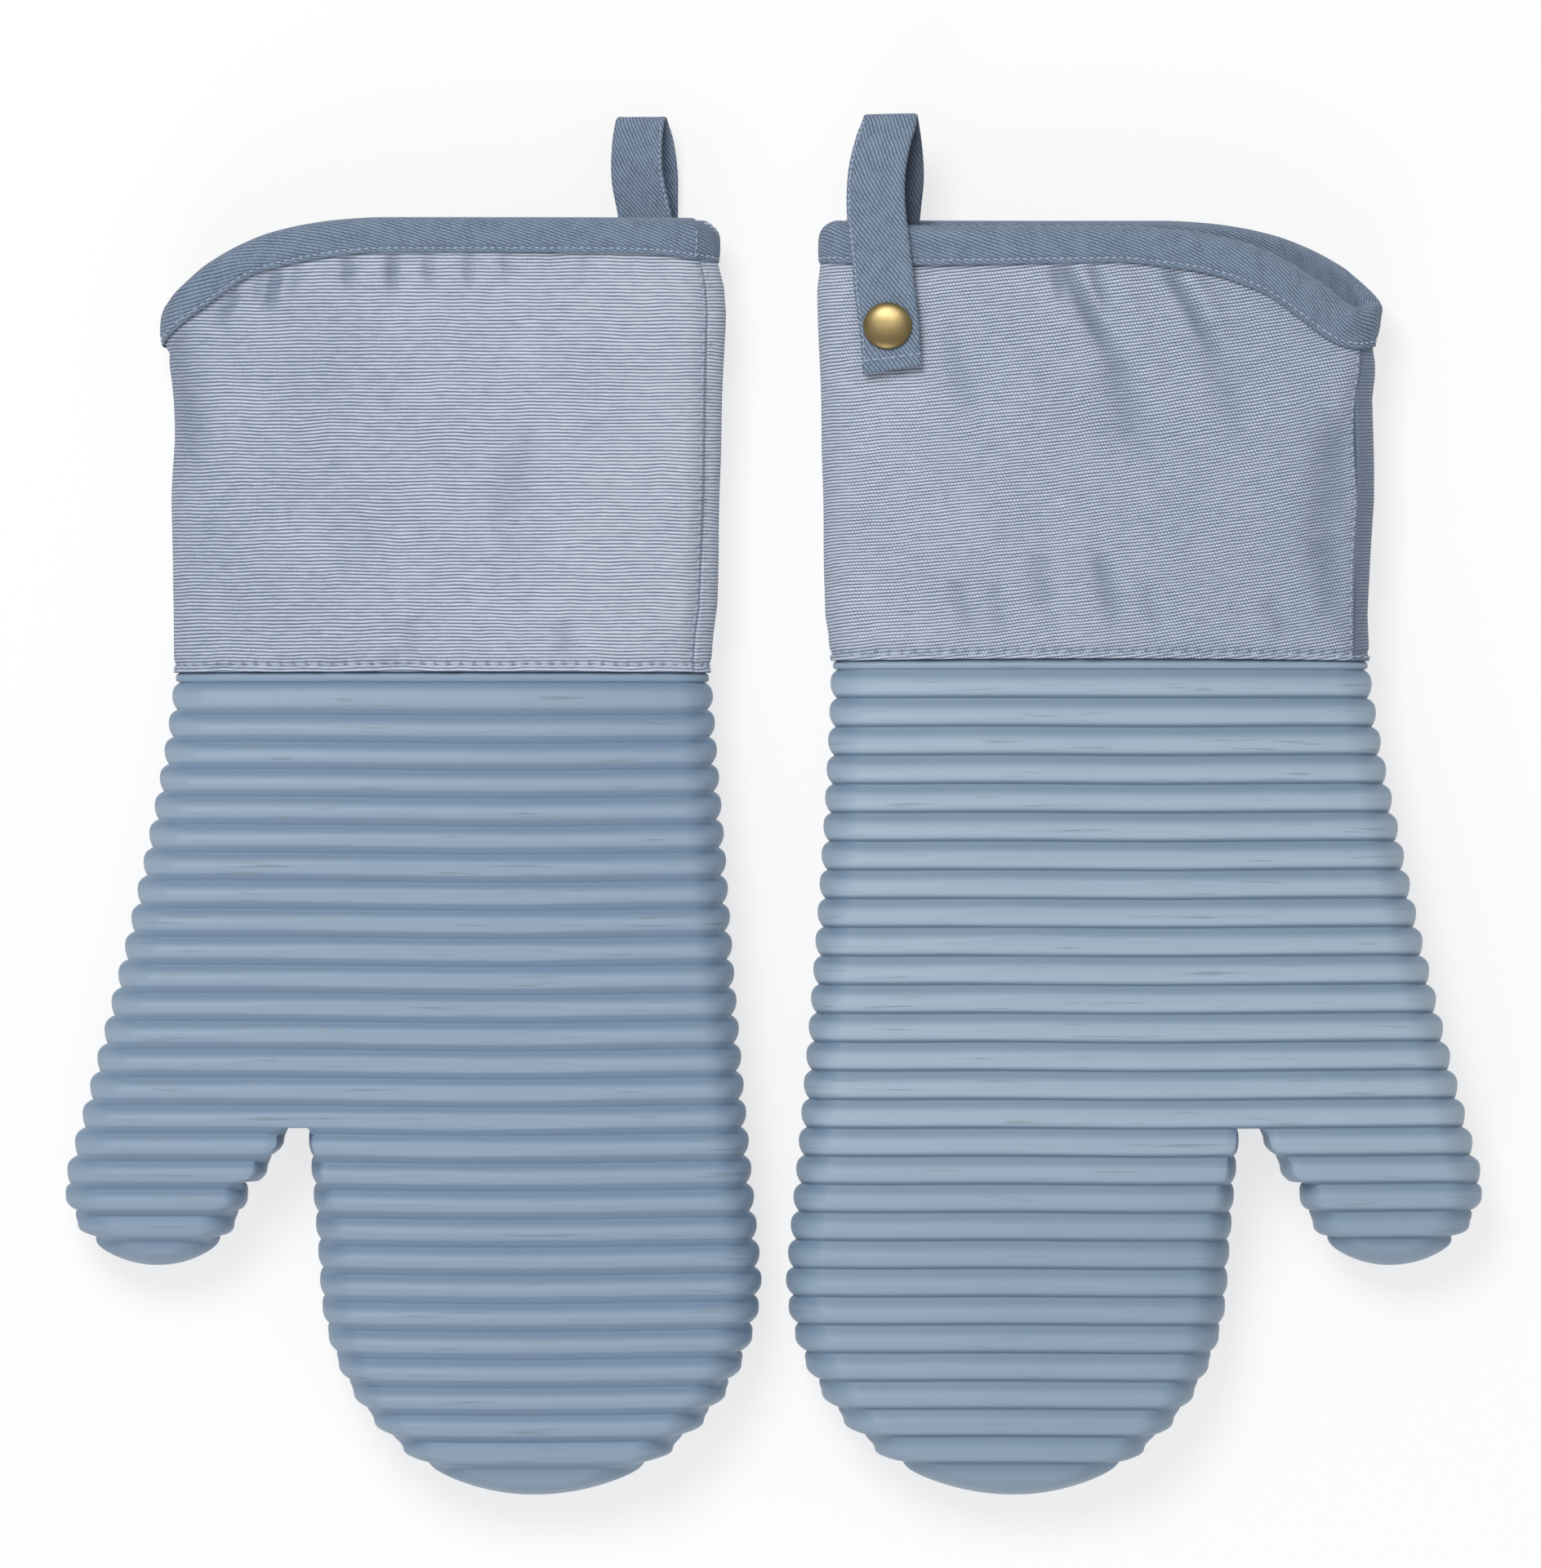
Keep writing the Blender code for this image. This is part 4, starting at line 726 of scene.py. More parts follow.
def alongNormal(grid, relief, reach, branch):
    # near a tip the creases go in along the tip's own normal: y + relief · slope / √(1 + slope²)
    rounding, tall = ((mitt["fingerTipRound"], mitt["knuckleHalf"]) if branch == "hand"
                      else (mitt["thumbTipRound"], mitt["thumbHalf"]))
    left = 1 - np.clip((grid[:, :1, 1] + reach) / rounding, ribs["leastTipShare"], 1)
    slope = tall / rounding * left / np.sqrt(1 - left ** 2)
    moved = grid.copy()
    moved[:-1, :, 1] += (relief * slope / np.sqrt(1 + slope ** 2))[:-1]
    return moved


def joinedBranches(whole, branches):
    # both branches start on the whole's last row, each with an upright wall at its inner side,
    # height · sin a; returns the web between those walls
    steps = columnSteps
    arc, lastRow = steps["arc"], whole[-1]
    handEnd = arc + steps["hand"]
    thumbStart = handEnd + steps["web"]
    lift = np.sin(np.arange(arc + 1) / arc * math.pi / 2)
    walls = []
    for at in (handEnd, thumbStart):
        wall = np.repeat(lastRow[at][None], arc + 1, axis=0)
        wall[:, 2] *= lift
        walls.append(wall)
    hand, thumb = branches
    hand[0] = np.concatenate([lastRow[:handEnd], walls[0][::-1]])
    thumb[0] = np.concatenate([walls[1], lastRow[thumbStart + 1:]])
    web = mix(walls[0][None], walls[1][None], np.linspace(0, 1, steps["web"] + 1)[:, None, None])
    web[:, -1] = lastRow[handEnd:thumbStart + 1]
    return web


def shellGrids(side, face):
    # ribbed half of the shell from the lip to both tips, with the web between hand and thumb
    m, seed = mitt, ribs["seed"][side]
    whole, litTone = ribbed("whole", m["crotchReach"], False, face)
    lip = section("whole", lipSection[:, :1], lipSection[:, 1:])
    grids = [np.concatenate([lip, whole])]
    # the lip gets part of the crests' painted light
    litTones = [np.concatenate([np.full(lip.shape[:2], ribs["lipLitTone"]), litTone])]
    for branch, reach, tipX in (("hand", m["fingerReach"], m["fingerTipX"]),
                                ("thumb", m["thumbReach"], m["thumbTipX"])):
        grid, litTone = ribbed(branch, reach, True, face)
        grid[-1] = (tipX, -reach, 0.0)
        grids.append(grid)
        # painted light on the ribs is weaker towards the tips
        nearTip = ease((-grid[..., 1] - ribs["tipLightStart"]) / ribs["tipLightRamp"])
        litTones.append(litTone * mix(1.0, ribs["tipLightShare"][side], nearTip))
    grids.append(joinedBranches(whole, grids[1:]))
    litTones.append(np.zeros(grids[-1].shape[:2]))
    uneven = []
    for grid in grids:
        rise = waves(grid[..., 0], grid[..., 1], seed, *ribs["unevenLengths"]) * ribs["unevenness"]
        reach = np.clip(grid[..., 2] / m["thumbHalf"], 0, 1)
        still = ease(-grid[..., 1] / ribs["stillBelowHem"])
        moved = grid.copy()
        moved[..., 2] += np.minimum(rise * reach * still, m["palmHalf"] - m["footCut"] - grid[..., 2])
        drift = waves(grid[..., 0], 0 * grid[..., 1], seed + 1, *ribs["driftLengths"]) * ribs["drift"]
        moved[..., 1] += drift * reach * still
        uneven.append(moved if face == "front" else mirrored(moved))
    return uneven, litTones


def smoothHalf(levels, insets, inset):
    # half of a smooth layer: rows at the levels, each with its inset, down to the crotch, then both
    # branches at one inset, closer rows towards their tips as sin a, and the web between them
    m = mitt
    grids = [section("whole", levels, insets)]
    for branch, reach, tipX, count in (("hand", m["fingerReach"], m["fingerTipX"], 16),
                                       ("thumb", m["thumbReach"], m["thumbTipX"], 10)):
        share = np.sin(np.linspace(0, math.pi / 2, count))
        y = mix(-m["crotchReach"] + inset, -reach + inset, share)
        grids.append(section(branch, y[:, None], inset))
        grids[-1][-1] = (tipX, -reach + inset, 0.0)
    return grids + [joinedBranches(grids[0], grids[1:])]


def makeShell(side):
    # both ribbed halves and, a wall behind them, the smooth hollow; the lip closes one to the other
    front, frontLitTones = shellGrids(side, "front")
    back, backLitTones = shellGrids(side, "back")
    inset = ribs["depth"] + ribs["wallBehind"]
    levels = np.array([ribs["lipLap"], *ribs["hollowLevels"], -mitt["crotchReach"] + inset])
    inner = smoothHalf(levels[:, None], inset, inset)
    inner.append(np.concatenate([front[0][:1], inner[0][:1]]))
    inner += [mirrored(grid) for grid in inner]
    hidden = [np.zeros(grid.shape[:2]) for grid in inner]
    shell = meshPiece(f"{side}_ribbed_shell", front + back + inner, side,
                      tones=frontLitTones + backLitTones + hidden)
    finished(shell, materials[f"{side}Silicone"], "silicone", f"{side}_mitt",
             f"{side}_silicone_shell")


# Cuffs

cuff = {
    "seamStep": 9, "panelThickness": 0.9, "rows": 110, "rowPower": 1.35, "finer": 3, "tuck": 0.6,
    "unevenness": 0.4, "puff": 0.9, "deepest": 1.6, "foldDepth": 1.6, "foldShade": 0.36, "cornerPinch": 0.5,
    "hemRise": {"right": 0.6, "left": 0.2}, "hemRiseReach": 15.0, "hemStitches": (3.3, 2.5), "hemStitch": 2.1,
    "hemHoleWidth": 0.55, "hemDip": 0.35, "hemDipWidth": 0.7, "hemRoll": 0.25, "hemPucker": 0.18,
    "seamStitches": (2.9, 1.9), "seamHoles": 1.4, "seamHoleWidth": 0.6, "holeShade": 0.8,
    "seamStepDown": 0.15, "seamWidth": 1.4, "edgeShade": {"right": 0.8, "left": 0.0}, "edgeShadeWidth": 7.0,
    "rowLean": 0.05, "rowCurve": 0.00054, "seeds": {1: 19, -1: 5}, "unevenLengths": (25, 90),
    "leastPuff": 0.15, "seamRamp": 6, "tapeRamp": 7, "foldLap": 1.0, "foldRamp": 3.5, "foldSeamRamp": 5,
    "shadeLimits": (-0.2, 0.5), "seamHoleShare": 0.7, "hemRamp": 6, "tapeLap": 3.0, "lapRamp": 5.0,
    "pinchWidth": 5.0, "hemRollPlace": 0.5, "hemRollWidth": 0.6, "puckerLengths": (3.5, 12),
    "studClear": 0.5, "studRamp": 6,
}

# Folds as (x, y at the start, x, y at the end, half width, depth); minus is a hollow
folds = {
    "right": [
        (-12.2, 104.5, -9.4, 95.0, 1.5, -1.0), (-8.8, 103.0, 4.5, 78.0, 2.1, -1.6),
        (-5.2, 103.0, 1.0, 90.0, 1.7, 0.9), (-1.8, 103.5, 2.4, 92.0, 1.5, -1.1),
        (4.0, 103.0, 16.0, 70.0, 4.0, 0.6), (18.0, 103.0, 28.8, 83.0, 1.8, -1.6),
        (23.0, 101.5, 34.0, 82.0, 2.6, 0.9), (-32.5, 91.0, -29.0, 81.0, 2.2, -0.7),
        (-38.6, 88.0, -32.9, 64.0, 3.2, -0.7), (-36.0, 96.0, -12.0, 62.0, 7.0, 0.8),
        (4.5, 78.0, 9.0, 55.0, 4.5, -0.8), (28.8, 84.0, 36.0, 60.0, 4.0, -0.6),
        (-36.7, 20.0, -32.9, 7.0, 2.2, -0.7), (-27.2, 19.0, -25.3, 7.0, 2.2, -0.6),
        (-15.8, 26.0, -13.9, 12.0, 2.6, -0.7), (0.0, 26.0, 4.2, 8.5, 2.4, -1.0),
        (12.0, 18.0, 15.0, 8.0, 2.2, -0.5), (43.2, 15.0, 48.9, 6.0, 2.6, -0.6),
        (63.0, 60.0, 57.0, 28.0, 6.0, -1.1), (59.0, 30.0, 63.0, 8.0, 5.0, -0.9),
    ],
    "left": [
        (55.0, 97.5, 57.5, 89.0, 1.7, -1.3), (48.0, 101.5, 49.2, 94.5, 1.3, -0.8),
        (43.8, 102.0, 45.8, 92.5, 1.8, -1.6), (38.5, 103.0, 39.6, 95.0, 1.4, -0.7),
        (25.8, 107.0, 24.6, 98.0, 1.7, -1.3), (13.9, 107.0, 13.9, 97.0, 1.7, -1.5),
        (4.8, 107.0, 4.8, 98.0, 1.5, -1.0), (-5.7, 107.0, -5.7, 98.0, 1.5, -1.0),
        (-15.2, 107.0, -15.2, 100.0, 1.4, -0.7), (-35.0, 105.5, -35.0, 99.0, 1.6, -0.5),
        (9.5, 12.0, 9.0, 3.0, 2.4, -0.6), (-30.0, 12.0, -31.0, 3.0, 2.4, -0.6),
        (-20.0, 60.0, -14.0, 34.0, 5.0, -0.5), (70.0, 85.0, 66.0, 50.0, 6.0, -1.0),
    ],
}


def foldField(x, y, marks):
    # sum over the folds of depth · exp(-(distance / width)²), fading towards the fold's far end
    total = np.zeros(x.shape)
    for startX, startY, endX, endY, width, depth in marks:
        runX, runY = endX - startX, endY - startY
        length = math.hypot(runX, runY)
        along = ((x - startX) * runX + (y - startY) * runY) / length ** 2
        aside = ((x - startX) * runY - (y - startY) * runX) / length
        falloff = ease((along + 0.25) / 0.3) * ease((1.25 - along) / 0.7)
        total += depth * falloff * bell(aside, width)
    return total


def acrossCuff(x, stops):
    # mean of the table round x, over a stretch that shrinks to nothing at the side seams
    m = mitt
    toSeam = np.minimum(m["thumbSideAtMouth"] - x, x + m["pinkySideAtMouth"])
    reach = np.clip(toSeam / 2, 0, m["edgeSmoothing"])
    return np.mean([np.interp(x + reach * share, *zip(*stops)) for share in np.linspace(-1, 1, 9)], axis=0)


def mouthLevel(x, face):
    # height - table's drop - r · (1 - √(1 - share²)), the last for the rounded pinky corner
    m = mitt
    corner = np.clip((-x - m["cornerStart"]) / (m["pinkySideAtMouth"] - m["cornerStart"]), 0, 1)
    rounded = m["cornerRound"] * (1 - np.sqrt(1 - 0.97 * corner ** 2))
    return m["cuffHeight"] - acrossCuff(x, edgeDrops[face]) - rounded


def ringValues(valueOf):
    # a value of (x, face) round the whole ring: front columns, then back columns in return
    x = section("whole", mitt["cuffHeight"])[:, 0]
    return np.concatenate([valueOf(x, 1), valueOf(x, -1)[-2:0:-1]])


def tapeHem(x, face):
    # level of the binding's lower edge
    return acrossCuff(x, tapeHems[face])


def ringLift():
    # 0 at the side seams, 1 where the cuff has 0.6 of its half height and more
    lift = np.clip(section("whole", mitt["cuffHeight"])[:, 2] / mitt["mouthHalf"] / 0.6, 0, 1)
    return np.concatenate([lift, lift[-2:0:-1]])


def ringPoints(y, inset, lowest=0.0):
    # a whole ring of points for each row of y; y has one value for each ring column, or one for a row
    count = len(layouts["whole"][0])
    y, inset = np.broadcast_arrays(y, inset, np.empty(2 * count - 2))[:2]
    backY, backInset = (np.concatenate([v[..., :1], v[..., :count - 2:-1]], axis=-1) for v in (y, inset))
    front = section("whole", y[..., :count], inset[..., :count], lowest=lowest)
    back = mirrored(section("whole", backY, backInset, lowest=lowest))
    return np.concatenate([front, back[..., -2:0:-1, :]], axis=-2)


def normalsOf(grid):
    # unit normals from the cross product of the grid's two directions
    return unit(np.cross(np.gradient(grid, axis=1), np.gradient(grid, axis=0)), 1e-9)


def outward(grid, normal):
    # turns normals so that they point away from the mitt's middle plane
    away = np.sum(normal * grid * np.array([0.15, 0.0, 1.0]), axis=-1)
    return normal * np.where(away < 0, -1.0, 1.0)[..., None]


def finerColumns(values, layout):
    # values of the columns, and of places between them on the flat stretches, by straight mixing
    parts = np.where((layout[1:] == 0) | (layout[1:] == 4) | (layout[:-1] == 4), 1, cuff["finer"])
    place = np.concatenate([[0.0]] + [at + np.arange(1, n + 1) / n for at, n in enumerate(parts)])
    low = np.minimum(place.astype(int), len(layout) - 2)
    share = place - low
    if values.ndim == 1:
        return mix(values[low], values[low + 1], share)
    return mix(values[:, low], values[:, low + 1], share[:, None])


def holes(along, pitch, aside, width):
    # the positive half of cos(2 pi along / pitch), in a narrow bell aside
    return np.clip(np.cos(2 * math.pi * along / pitch), 0, 1) * bell(aside, width)


def panelGrid(side, face):
    # panel from seam to seam, hem to mouth, pushed in and out along its normals by folds and seams
    c = cuff
    stretch = layouts["whole"][0]
    count = len(stretch)
    start = -c["seamStep"] + (0 if face > 0 else count - 1)
    index = (start + np.arange(count)) % (2 * count - 2)
    layout = np.concatenate([stretch, stretch[-2:0:-1]])[index]
    share = np.linspace(0, 1, c["rows"])[:, None] ** c["rowPower"]
    levels = ringValues(mouthLevel) - c["tuck"]
    grid = finerColumns(ringPoints(levels * share, 0.0)[:, index], layout)
    lift = finerColumns(ringLift()[index], layout)
    normal = outward(grid, normalsOf(grid))
    x, y = grid[..., 0], grid[..., 1]
    shown = (face > 0) == (side == "right")
    spread = lengthsAlong(grid[0])
    fromSeam = np.minimum(spread, spread[-1] - spread)
    underTape = finerColumns(ringValues(tapeHem)[index], layout) - y
    # the stuffed cloth swells between its seams and is uneven; folds press into the side that shows
    push = waves(x, y, c["seeds"][face], *c["unevenLengths"]) * c["unevenness"]
    puff = c["puff"] * mix(c["leastPuff"], 1.0, lift)
    push = push + puff * ease(fromSeam / c["seamRamp"]) * ease(underTape / c["tapeRamp"])
    if shown:
        marks = foldField(x, y, folds[side]) * ease((underTape + c["foldLap"]) / c["foldRamp"])
        marks = marks * ease(fromSeam / c["foldSeamRamp"])
        push = push + c["foldDepth"] * marks
        shade = np.clip(-marks * c["foldShade"], *c["shadeLimits"])
    else:
        shade = c["edgeShade"][side] * bell(fromSeam, c["edgeShadeWidth"]) * (x > 0)
    hemHoles = holes(spread, c["hemStitches"][0], y - c["hemStitch"], c["hemHoleWidth"])
    seamHoles = holes(y, c["seamStitches"][0], fromSeam - c["seamHoles"], c["seamHoleWidth"])
    shade = np.maximum(shade, c["holeShade"] * np.maximum(hemHoles, c["seamHoleShare"] * seamHoles))
    push = push * ease(y / c["hemRamp"]) * ease((underTape + c["tapeLap"]) / c["lapRamp"])
    push = np.maximum(push, -c["deepest"])
    # drawn in under the tape at the thumb's corner, at the seams, and along the hem's stitches
    push = push - np.where(x > 0, c["cornerPinch"] * (1 - lift) * bell(underTape, c["pinchWidth"]), 0.0)
    if not shown:
        push = push - c["seamStepDown"] * bell(fromSeam, c["seamWidth"])
    roll = c["hemRoll"] * bell(y - c["hemRollPlace"], c["hemRollWidth"])
    hem = -c["hemDip"] * bell(y - c["hemStitch"], c["hemDipWidth"]) + roll
    pucker = c["hemPucker"] * waves(x, y * 0.2, 77, *c["puckerLengths"]) * bell(y, c["hemRamp"])
    push = push + (hem + pucker)
    if face > 0:
        fromStud = np.hypot(x - stud["x"], y - mitt["cuffHeight"] + stud["belowMouth"])
        push = push * ease((fromStud - stud["flangeRadius"] - c["studClear"]) / c["studRamp"])
    grid = grid + normal * push[..., None]
    bowed = 1 - (x / mitt["thumbSideAtHem"]) ** 2
    grid[..., 1] += c["hemRise"][side] * bowed * (1 - ease(y / c["hemRiseReach"]))
    # the weave of the right mitt's front leans and curves: rowLean · s + rowCurve · s²
    shift = c["rowLean"] * spread + c["rowCurve"] * spread ** 2 if side == "right" else 0 * spread
    uv = np.stack([np.broadcast_to(spread, x.shape), y - shift], axis=-1)
    return grid, normal, uv, shade


def makePanels(side):
    # both canvas panels with their hem stitches, and seam stitches on the side that shows
    for face, name in ((1, "front"), (-1, "back")):
        grid, normal, uv, shade = panelGrid(side, face)
        panel = meshPiece(f"{side}_cuff_{name}", [grid], side, [uv], [shade])
        thicken(panel, cuff["panelThickness"])
        finished(panel, materials[f"{side}Canvas"], "canvas", f"{side}_mitt", f"{side}_cuff_{name}_panel")
        hem = int(np.argmin(np.abs(grid[:, grid.shape[1] // 2, 1] - cuff["hemStitch"])))
        runs = [(grid[hem], normal[hem], *cuff["hemStitches"])]
        if (face < 0) == (side == "left"):
            runs += [(grid[2:-10, column], normal[2:-10, column], *cuff["seamStitches"])
                     for column in (1, -2)]
        makeStitches(f"hem_stitches_{name}", side, f"{side}_mitt", runs)


binding = {
    "width": 10.4, "tape": 0.8, "fold": 2.4, "gap": 0.5, "puff": 0.5, "wallAtMouth": 3.5, "thickness": 0.55,
    "grooveFromEdge": 1.35, "grooveDepth": 0.45, "grooveWidth": 0.7, "edgeDraw": 0.45, "atSeams": 0.45,
    "endPlace": -66.2, "endDrop": 0.9, "endThickness": 0.45, "pucker": 0.12, "cornerTuck": 0.6,
    "steps": 30, "arcSteps": 15, "innerSteps": 12, "measuredColumn": 40, "stitches": (1.9, 1.35),
    "endStitches": (1.9, 1.4), "endStitchInset": 0.6, "innerRound": 0.85, "puckerLengths": (5, 14),
    "tuckWidth": 0.3,
}


def bindingSection():
    # (down, inset) round the tape: outer leg, half ellipse over the edge, inner leg, and back inside it
    b = binding
    down = np.linspace(b["width"], b["fold"], b["steps"])
    groove = b["grooveDepth"] * bell(down - b["width"] + b["grooveFromEdge"], b["grooveWidth"])
    puff = b["puff"] * np.sin(np.clip(down / b["width"], 0, 1) * math.pi) ** 0.5
    outer = -(b["gap"] + b["tape"] + puff - groove)
    outer[0] += b["edgeDraw"]
    angle = np.linspace(0, math.pi, b["arcSteps"])[1:-1]
    inside, thin = b["wallAtMouth"] + b["gap"] + b["tape"], b["thickness"]
    middle, half = (outer[-1] + inside) / 2, (inside - outer[-1]) / 2
    arcDown, arcInset = b["fold"] * (1 - np.sin(angle)), middle - half * np.cos(angle)
    innerDown = np.linspace(b["fold"], b["width"], b["innerSteps"])
    inner = np.full(b["innerSteps"], inside)
    returnArc = (arcInset[::-1] - middle) * b["innerRound"] + middle
    return (np.concatenate([down, arcDown, innerDown, innerDown[::-1], arcDown[::-1] + thin, down[::-1]]),
            np.concatenate([outer, arcInset, inner, inner - thin, returnArc, outer[::-1] + thin]))


def bindingGrid():
    # the tape's section carried round the mouth, as wide as the tables say; thinner at the side seams,
    # and doubled on the back where its end laps over its start
    b = binding
    levels, lift = ringValues(mouthLevel), ringLift()
    base = ringPoints(levels[None, :], 0.0)[0]
    x, z = base[:, 0], base[:, 2]
    down, inset = bindingSection()
    end = ease(b["endPlace"] + 0.5 - x) * ease(-z / 2)
    share = down[:, None] / b["width"]
    onTape = np.clip(share, 0, 1)
    y = levels - (levels - ringValues(tapeHem)) * share - b["endDrop"] * end * (1 - onTape)
    outside = (inset < 0)[:, None]
    pucker = waves(x, z * 3.0, 41, *b["puckerLengths"])
    bulge = np.sin(onTape * math.pi) * outside * pucker * b["pucker"]
    thinned = np.where(outside, mix(b["atSeams"], 1.0, lift), 1.0)
    tuck = np.where(x > 0, b["cornerTuck"] * (1 - lift) * bell(share - 1, b["tuckWidth"]) * outside, 0.0)
    return ringPoints(y, inset[:, None] * thinned + b["endThickness"] * end * outside + bulge + tuck), base


def closedRing(grid):
    # the first column again after the last one
    return np.concatenate([grid, grid[:, :1]], axis=1)


def makeBinding(side):
    # the tape as a closed sheet; its flat length is the ring's length at the mouth
    grid, base = bindingGrid()
    grid = closedRing(np.concatenate([grid, grid[:1]]))
    spread = lengthsAlong(closedRing(base[None])[0])
    across = lengthsAlong(grid[:, binding["measuredColumn"]])
    uv = np.stack(np.broadcast_arrays(spread[None, :], across[:, None]), axis=-1)
    tape = meshPiece(f"{side}_bias_binding", [grid], side, [uv])
    finished(tape, materials["bias"], "twill", f"{side}_mitt", f"{side}_cuff_binding")
    return grid


def makeBindingStitches(side, grid):
    # one row along the tape's lower edge, and one up its end on the back
    b = binding
    normal = outward(grid, normalsOf(grid))
    row = int(round(b["grooveFromEdge"] / (b["width"] - b["fold"]) * (b["steps"] - 1)))
    onBack = grid[0, :, 2] < -4
    column = int(np.argmin(np.abs(grid[0, :, 0] - b["endPlace"] - b["endStitchInset"]) + 99 * ~onBack))
    rows = slice(1, b["steps"])
    makeStitches("binding_stitches", side, f"{side}_mitt", [
        (grid[row], normal[row], *b["stitches"]),
        (grid[rows, column], normal[rows, column], *b["endStitches"])])


# Lining and batting

layers = {
    "gap": 0.2, "batting": 2.4, "battingAtMouth": 0.6, "lining": 0.6, "clearOfFolds": 1.2,
    "mouthReach": 12.0, "ramp": 8.0, "cuffLevels": (40.0, 10.0),
}


def layerGrids(inCuff, inShell, atMouth):
    # smooth layer under the cuff and the silicone, at these depths; it starts at the mouth's edge
    m, g = mitt, layers
    columns = section("whole", m["cuffHeight"])[:, 0]
    depths = ([(level, inCuff) for level in g["cuffLevels"]] + [(ribs["lipLap"], inShell)]
              + [(level, inShell) for level in (*ribs["hollowLevels"], -m["crotchReach"] + inShell)])
    grids = []
    for face in (1, -1):
        edge = mouthLevel(columns, face) - cuff["tuck"]
        rows = [edge, edge - g["mouthReach"], edge - g["mouthReach"] - g["ramp"]]
        rows += [np.full(len(edge), level) for level, _ in depths]
        insets = [atMouth, atMouth, inCuff] + [depth for _, depth in depths]
        half = smoothHalf(np.array(rows), np.array(insets)[:, None], inShell)
        grids += half if face > 0 else [mirrored(grid) for grid in half]
    return grids


def makeInside(side):
    # the batting keeps clear of the folds; the lining lies behind it
    g = layers
    inCuff = cuff["panelThickness"] + g["gap"]
    inShell = ribs["depth"] + ribs["wallBehind"] + g["gap"]
    atMouth = inCuff + g["clearOfFolds"]
    behind = g["batting"] + g["gap"]
    padding = (inCuff + 1.5 * g["clearOfFolds"], inShell, atMouth)
    lining = (inCuff + behind, inShell + behind, atMouth + g["gap"] + g["battingAtMouth"])
    for name, slot, depths, thickness in (("batting", "padding", padding, g["battingAtMouth"]),
                                          ("lining", "lining", lining, g["lining"])):
        grids = layerGrids(*depths)
        layer = meshPiece(f"{side}_{name}", grids, side, [grid[..., :2] for grid in grids])
        thicken(layer, thickness)
        finished(layer, materials[name], slot, f"{side}_mitt", f"{side}_{slot}_front", f"{side}_{slot}_back")


# Stitching

thread = {"radius": 0.24, "sides": 6, "rings": 7, "rise": 0.36, "sink": 0.16}


def stitchGrids(path, normal, pitch, length):
    # each stitch is a short thread that rises as rise · sin(pi t) out of the cloth and dips at its ends
    spread = lengthsAlong(path)
    places = np.arange(pitch / 2, spread[-1], pitch)
    t = np.linspace(0, 1, thread["rings"])
    at = places[:, None] + (t - 0.5) * length
    centre, up = (np.stack([np.interp(at, spread, values[:, k]) for k in range(3)], axis=-1)
                  for values in (path, normal))
    up = unit(up)
    centre = centre + up * (thread["rise"] * np.sin(math.pi * t) - thread["sink"])[:, None]
    sideways = unit(np.cross(np.gradient(centre, axis=1), up))
    angle = np.linspace(0, 2 * math.pi, thread["sides"] + 1)[:, None]
    radius = thread["radius"] * np.sqrt(np.clip(1 - (2 * t - 1) ** 2, 0, 1)) ** 0.5
    ring = sideways[:, :, None] * np.cos(angle) + up[:, :, None] * np.sin(angle)
    return list(centre[:, :, None] + ring * radius[:, None, None])


def makeStitches(name, side, body, runs):
    # one piece from several runs of stitches
    grids = sum([stitchGrids(*run) for run in runs], [])
    finished(meshPiece(f"{side}_{name}", grids, side, merge=0.002), materials["thread"], "twill", body)


# Strap and press stud

strap = {
    "width": 15.2, "thickness": 1.1, "rowPitch": 0.8, "columns": 21, "edgeDraw": 0.45, "bend": 0.12,
    "hem": 3.4, "endSkew": 2.0, "skewReach": 9.0, "insideShade": 0.6, "shadeStart": 4.0, "shadeRamp": 10.0,
    "blendHalf": 1.2, "hemStitches": (2.2, 1.9), "edgeStitches": (1.5, 1.25), "backStitchRows": 36,
}

# Middle line of the tape as (x, y, lift over the cuff) from the free end over the fold and down inside
strapLines = {
    "right": [
        (-53.0, 77.0, 3.5), (-53.1, 80.2, 3.4), (-53.8, 89.0, 3.4), (-55.0, 99.0, 3.4),
        (-56.1, 106.5, 3.3), (-57.1, 114.0, 3.6), (-57.6, 121.0, 3.8), (-57.2, 128.5, 3.2),
        (-55.7, 135.7, 1.9), (-54.3, 139.8, 0.5), (-53.8, 141.9, -0.6), (-53.7, 142.4, -1.6),
        (-53.6, 141.9, -2.6), (-53.3, 139.6, -3.6), (-52.7, 134.0, -4.9), (-52.5, 127.0, -5.6),
        (-53.4, 119.0, -5.9), (-54.1, 112.0, -6.0), (-54.0, 101.0, -6.1),
    ],
    "left": [
        (-53.5, 77.0, 3.5), (-53.6, 80.2, 3.4), (-54.1, 89.0, 3.4), (-54.6, 99.0, 3.4),
        (-54.0, 106.5, 3.3), (-53.2, 114.0, 3.6), (-53.3, 121.0, 3.8), (-53.4, 128.5, 3.2),
        (-52.6, 135.7, 1.9), (-51.4, 139.8, 0.5), (-50.8, 141.9, -0.6), (-50.4, 142.4, -1.6),
        (-50.1, 141.9, -2.6), (-49.6, 139.6, -3.6), (-49.1, 134.0, -4.9), (-49.3, 127.0, -5.6),
        (-51.0, 119.0, -5.9), (-52.2, 112.0, -6.0), (-52.8, 101.0, -6.1),
    ],
}

# Width of the tape at a level, as it is seen from above
strapWidths = [(76.0, 14.3), (90.0, 14.8), (112.0, 15.4), (125.0, 14.9), (143.0, 13.8)]


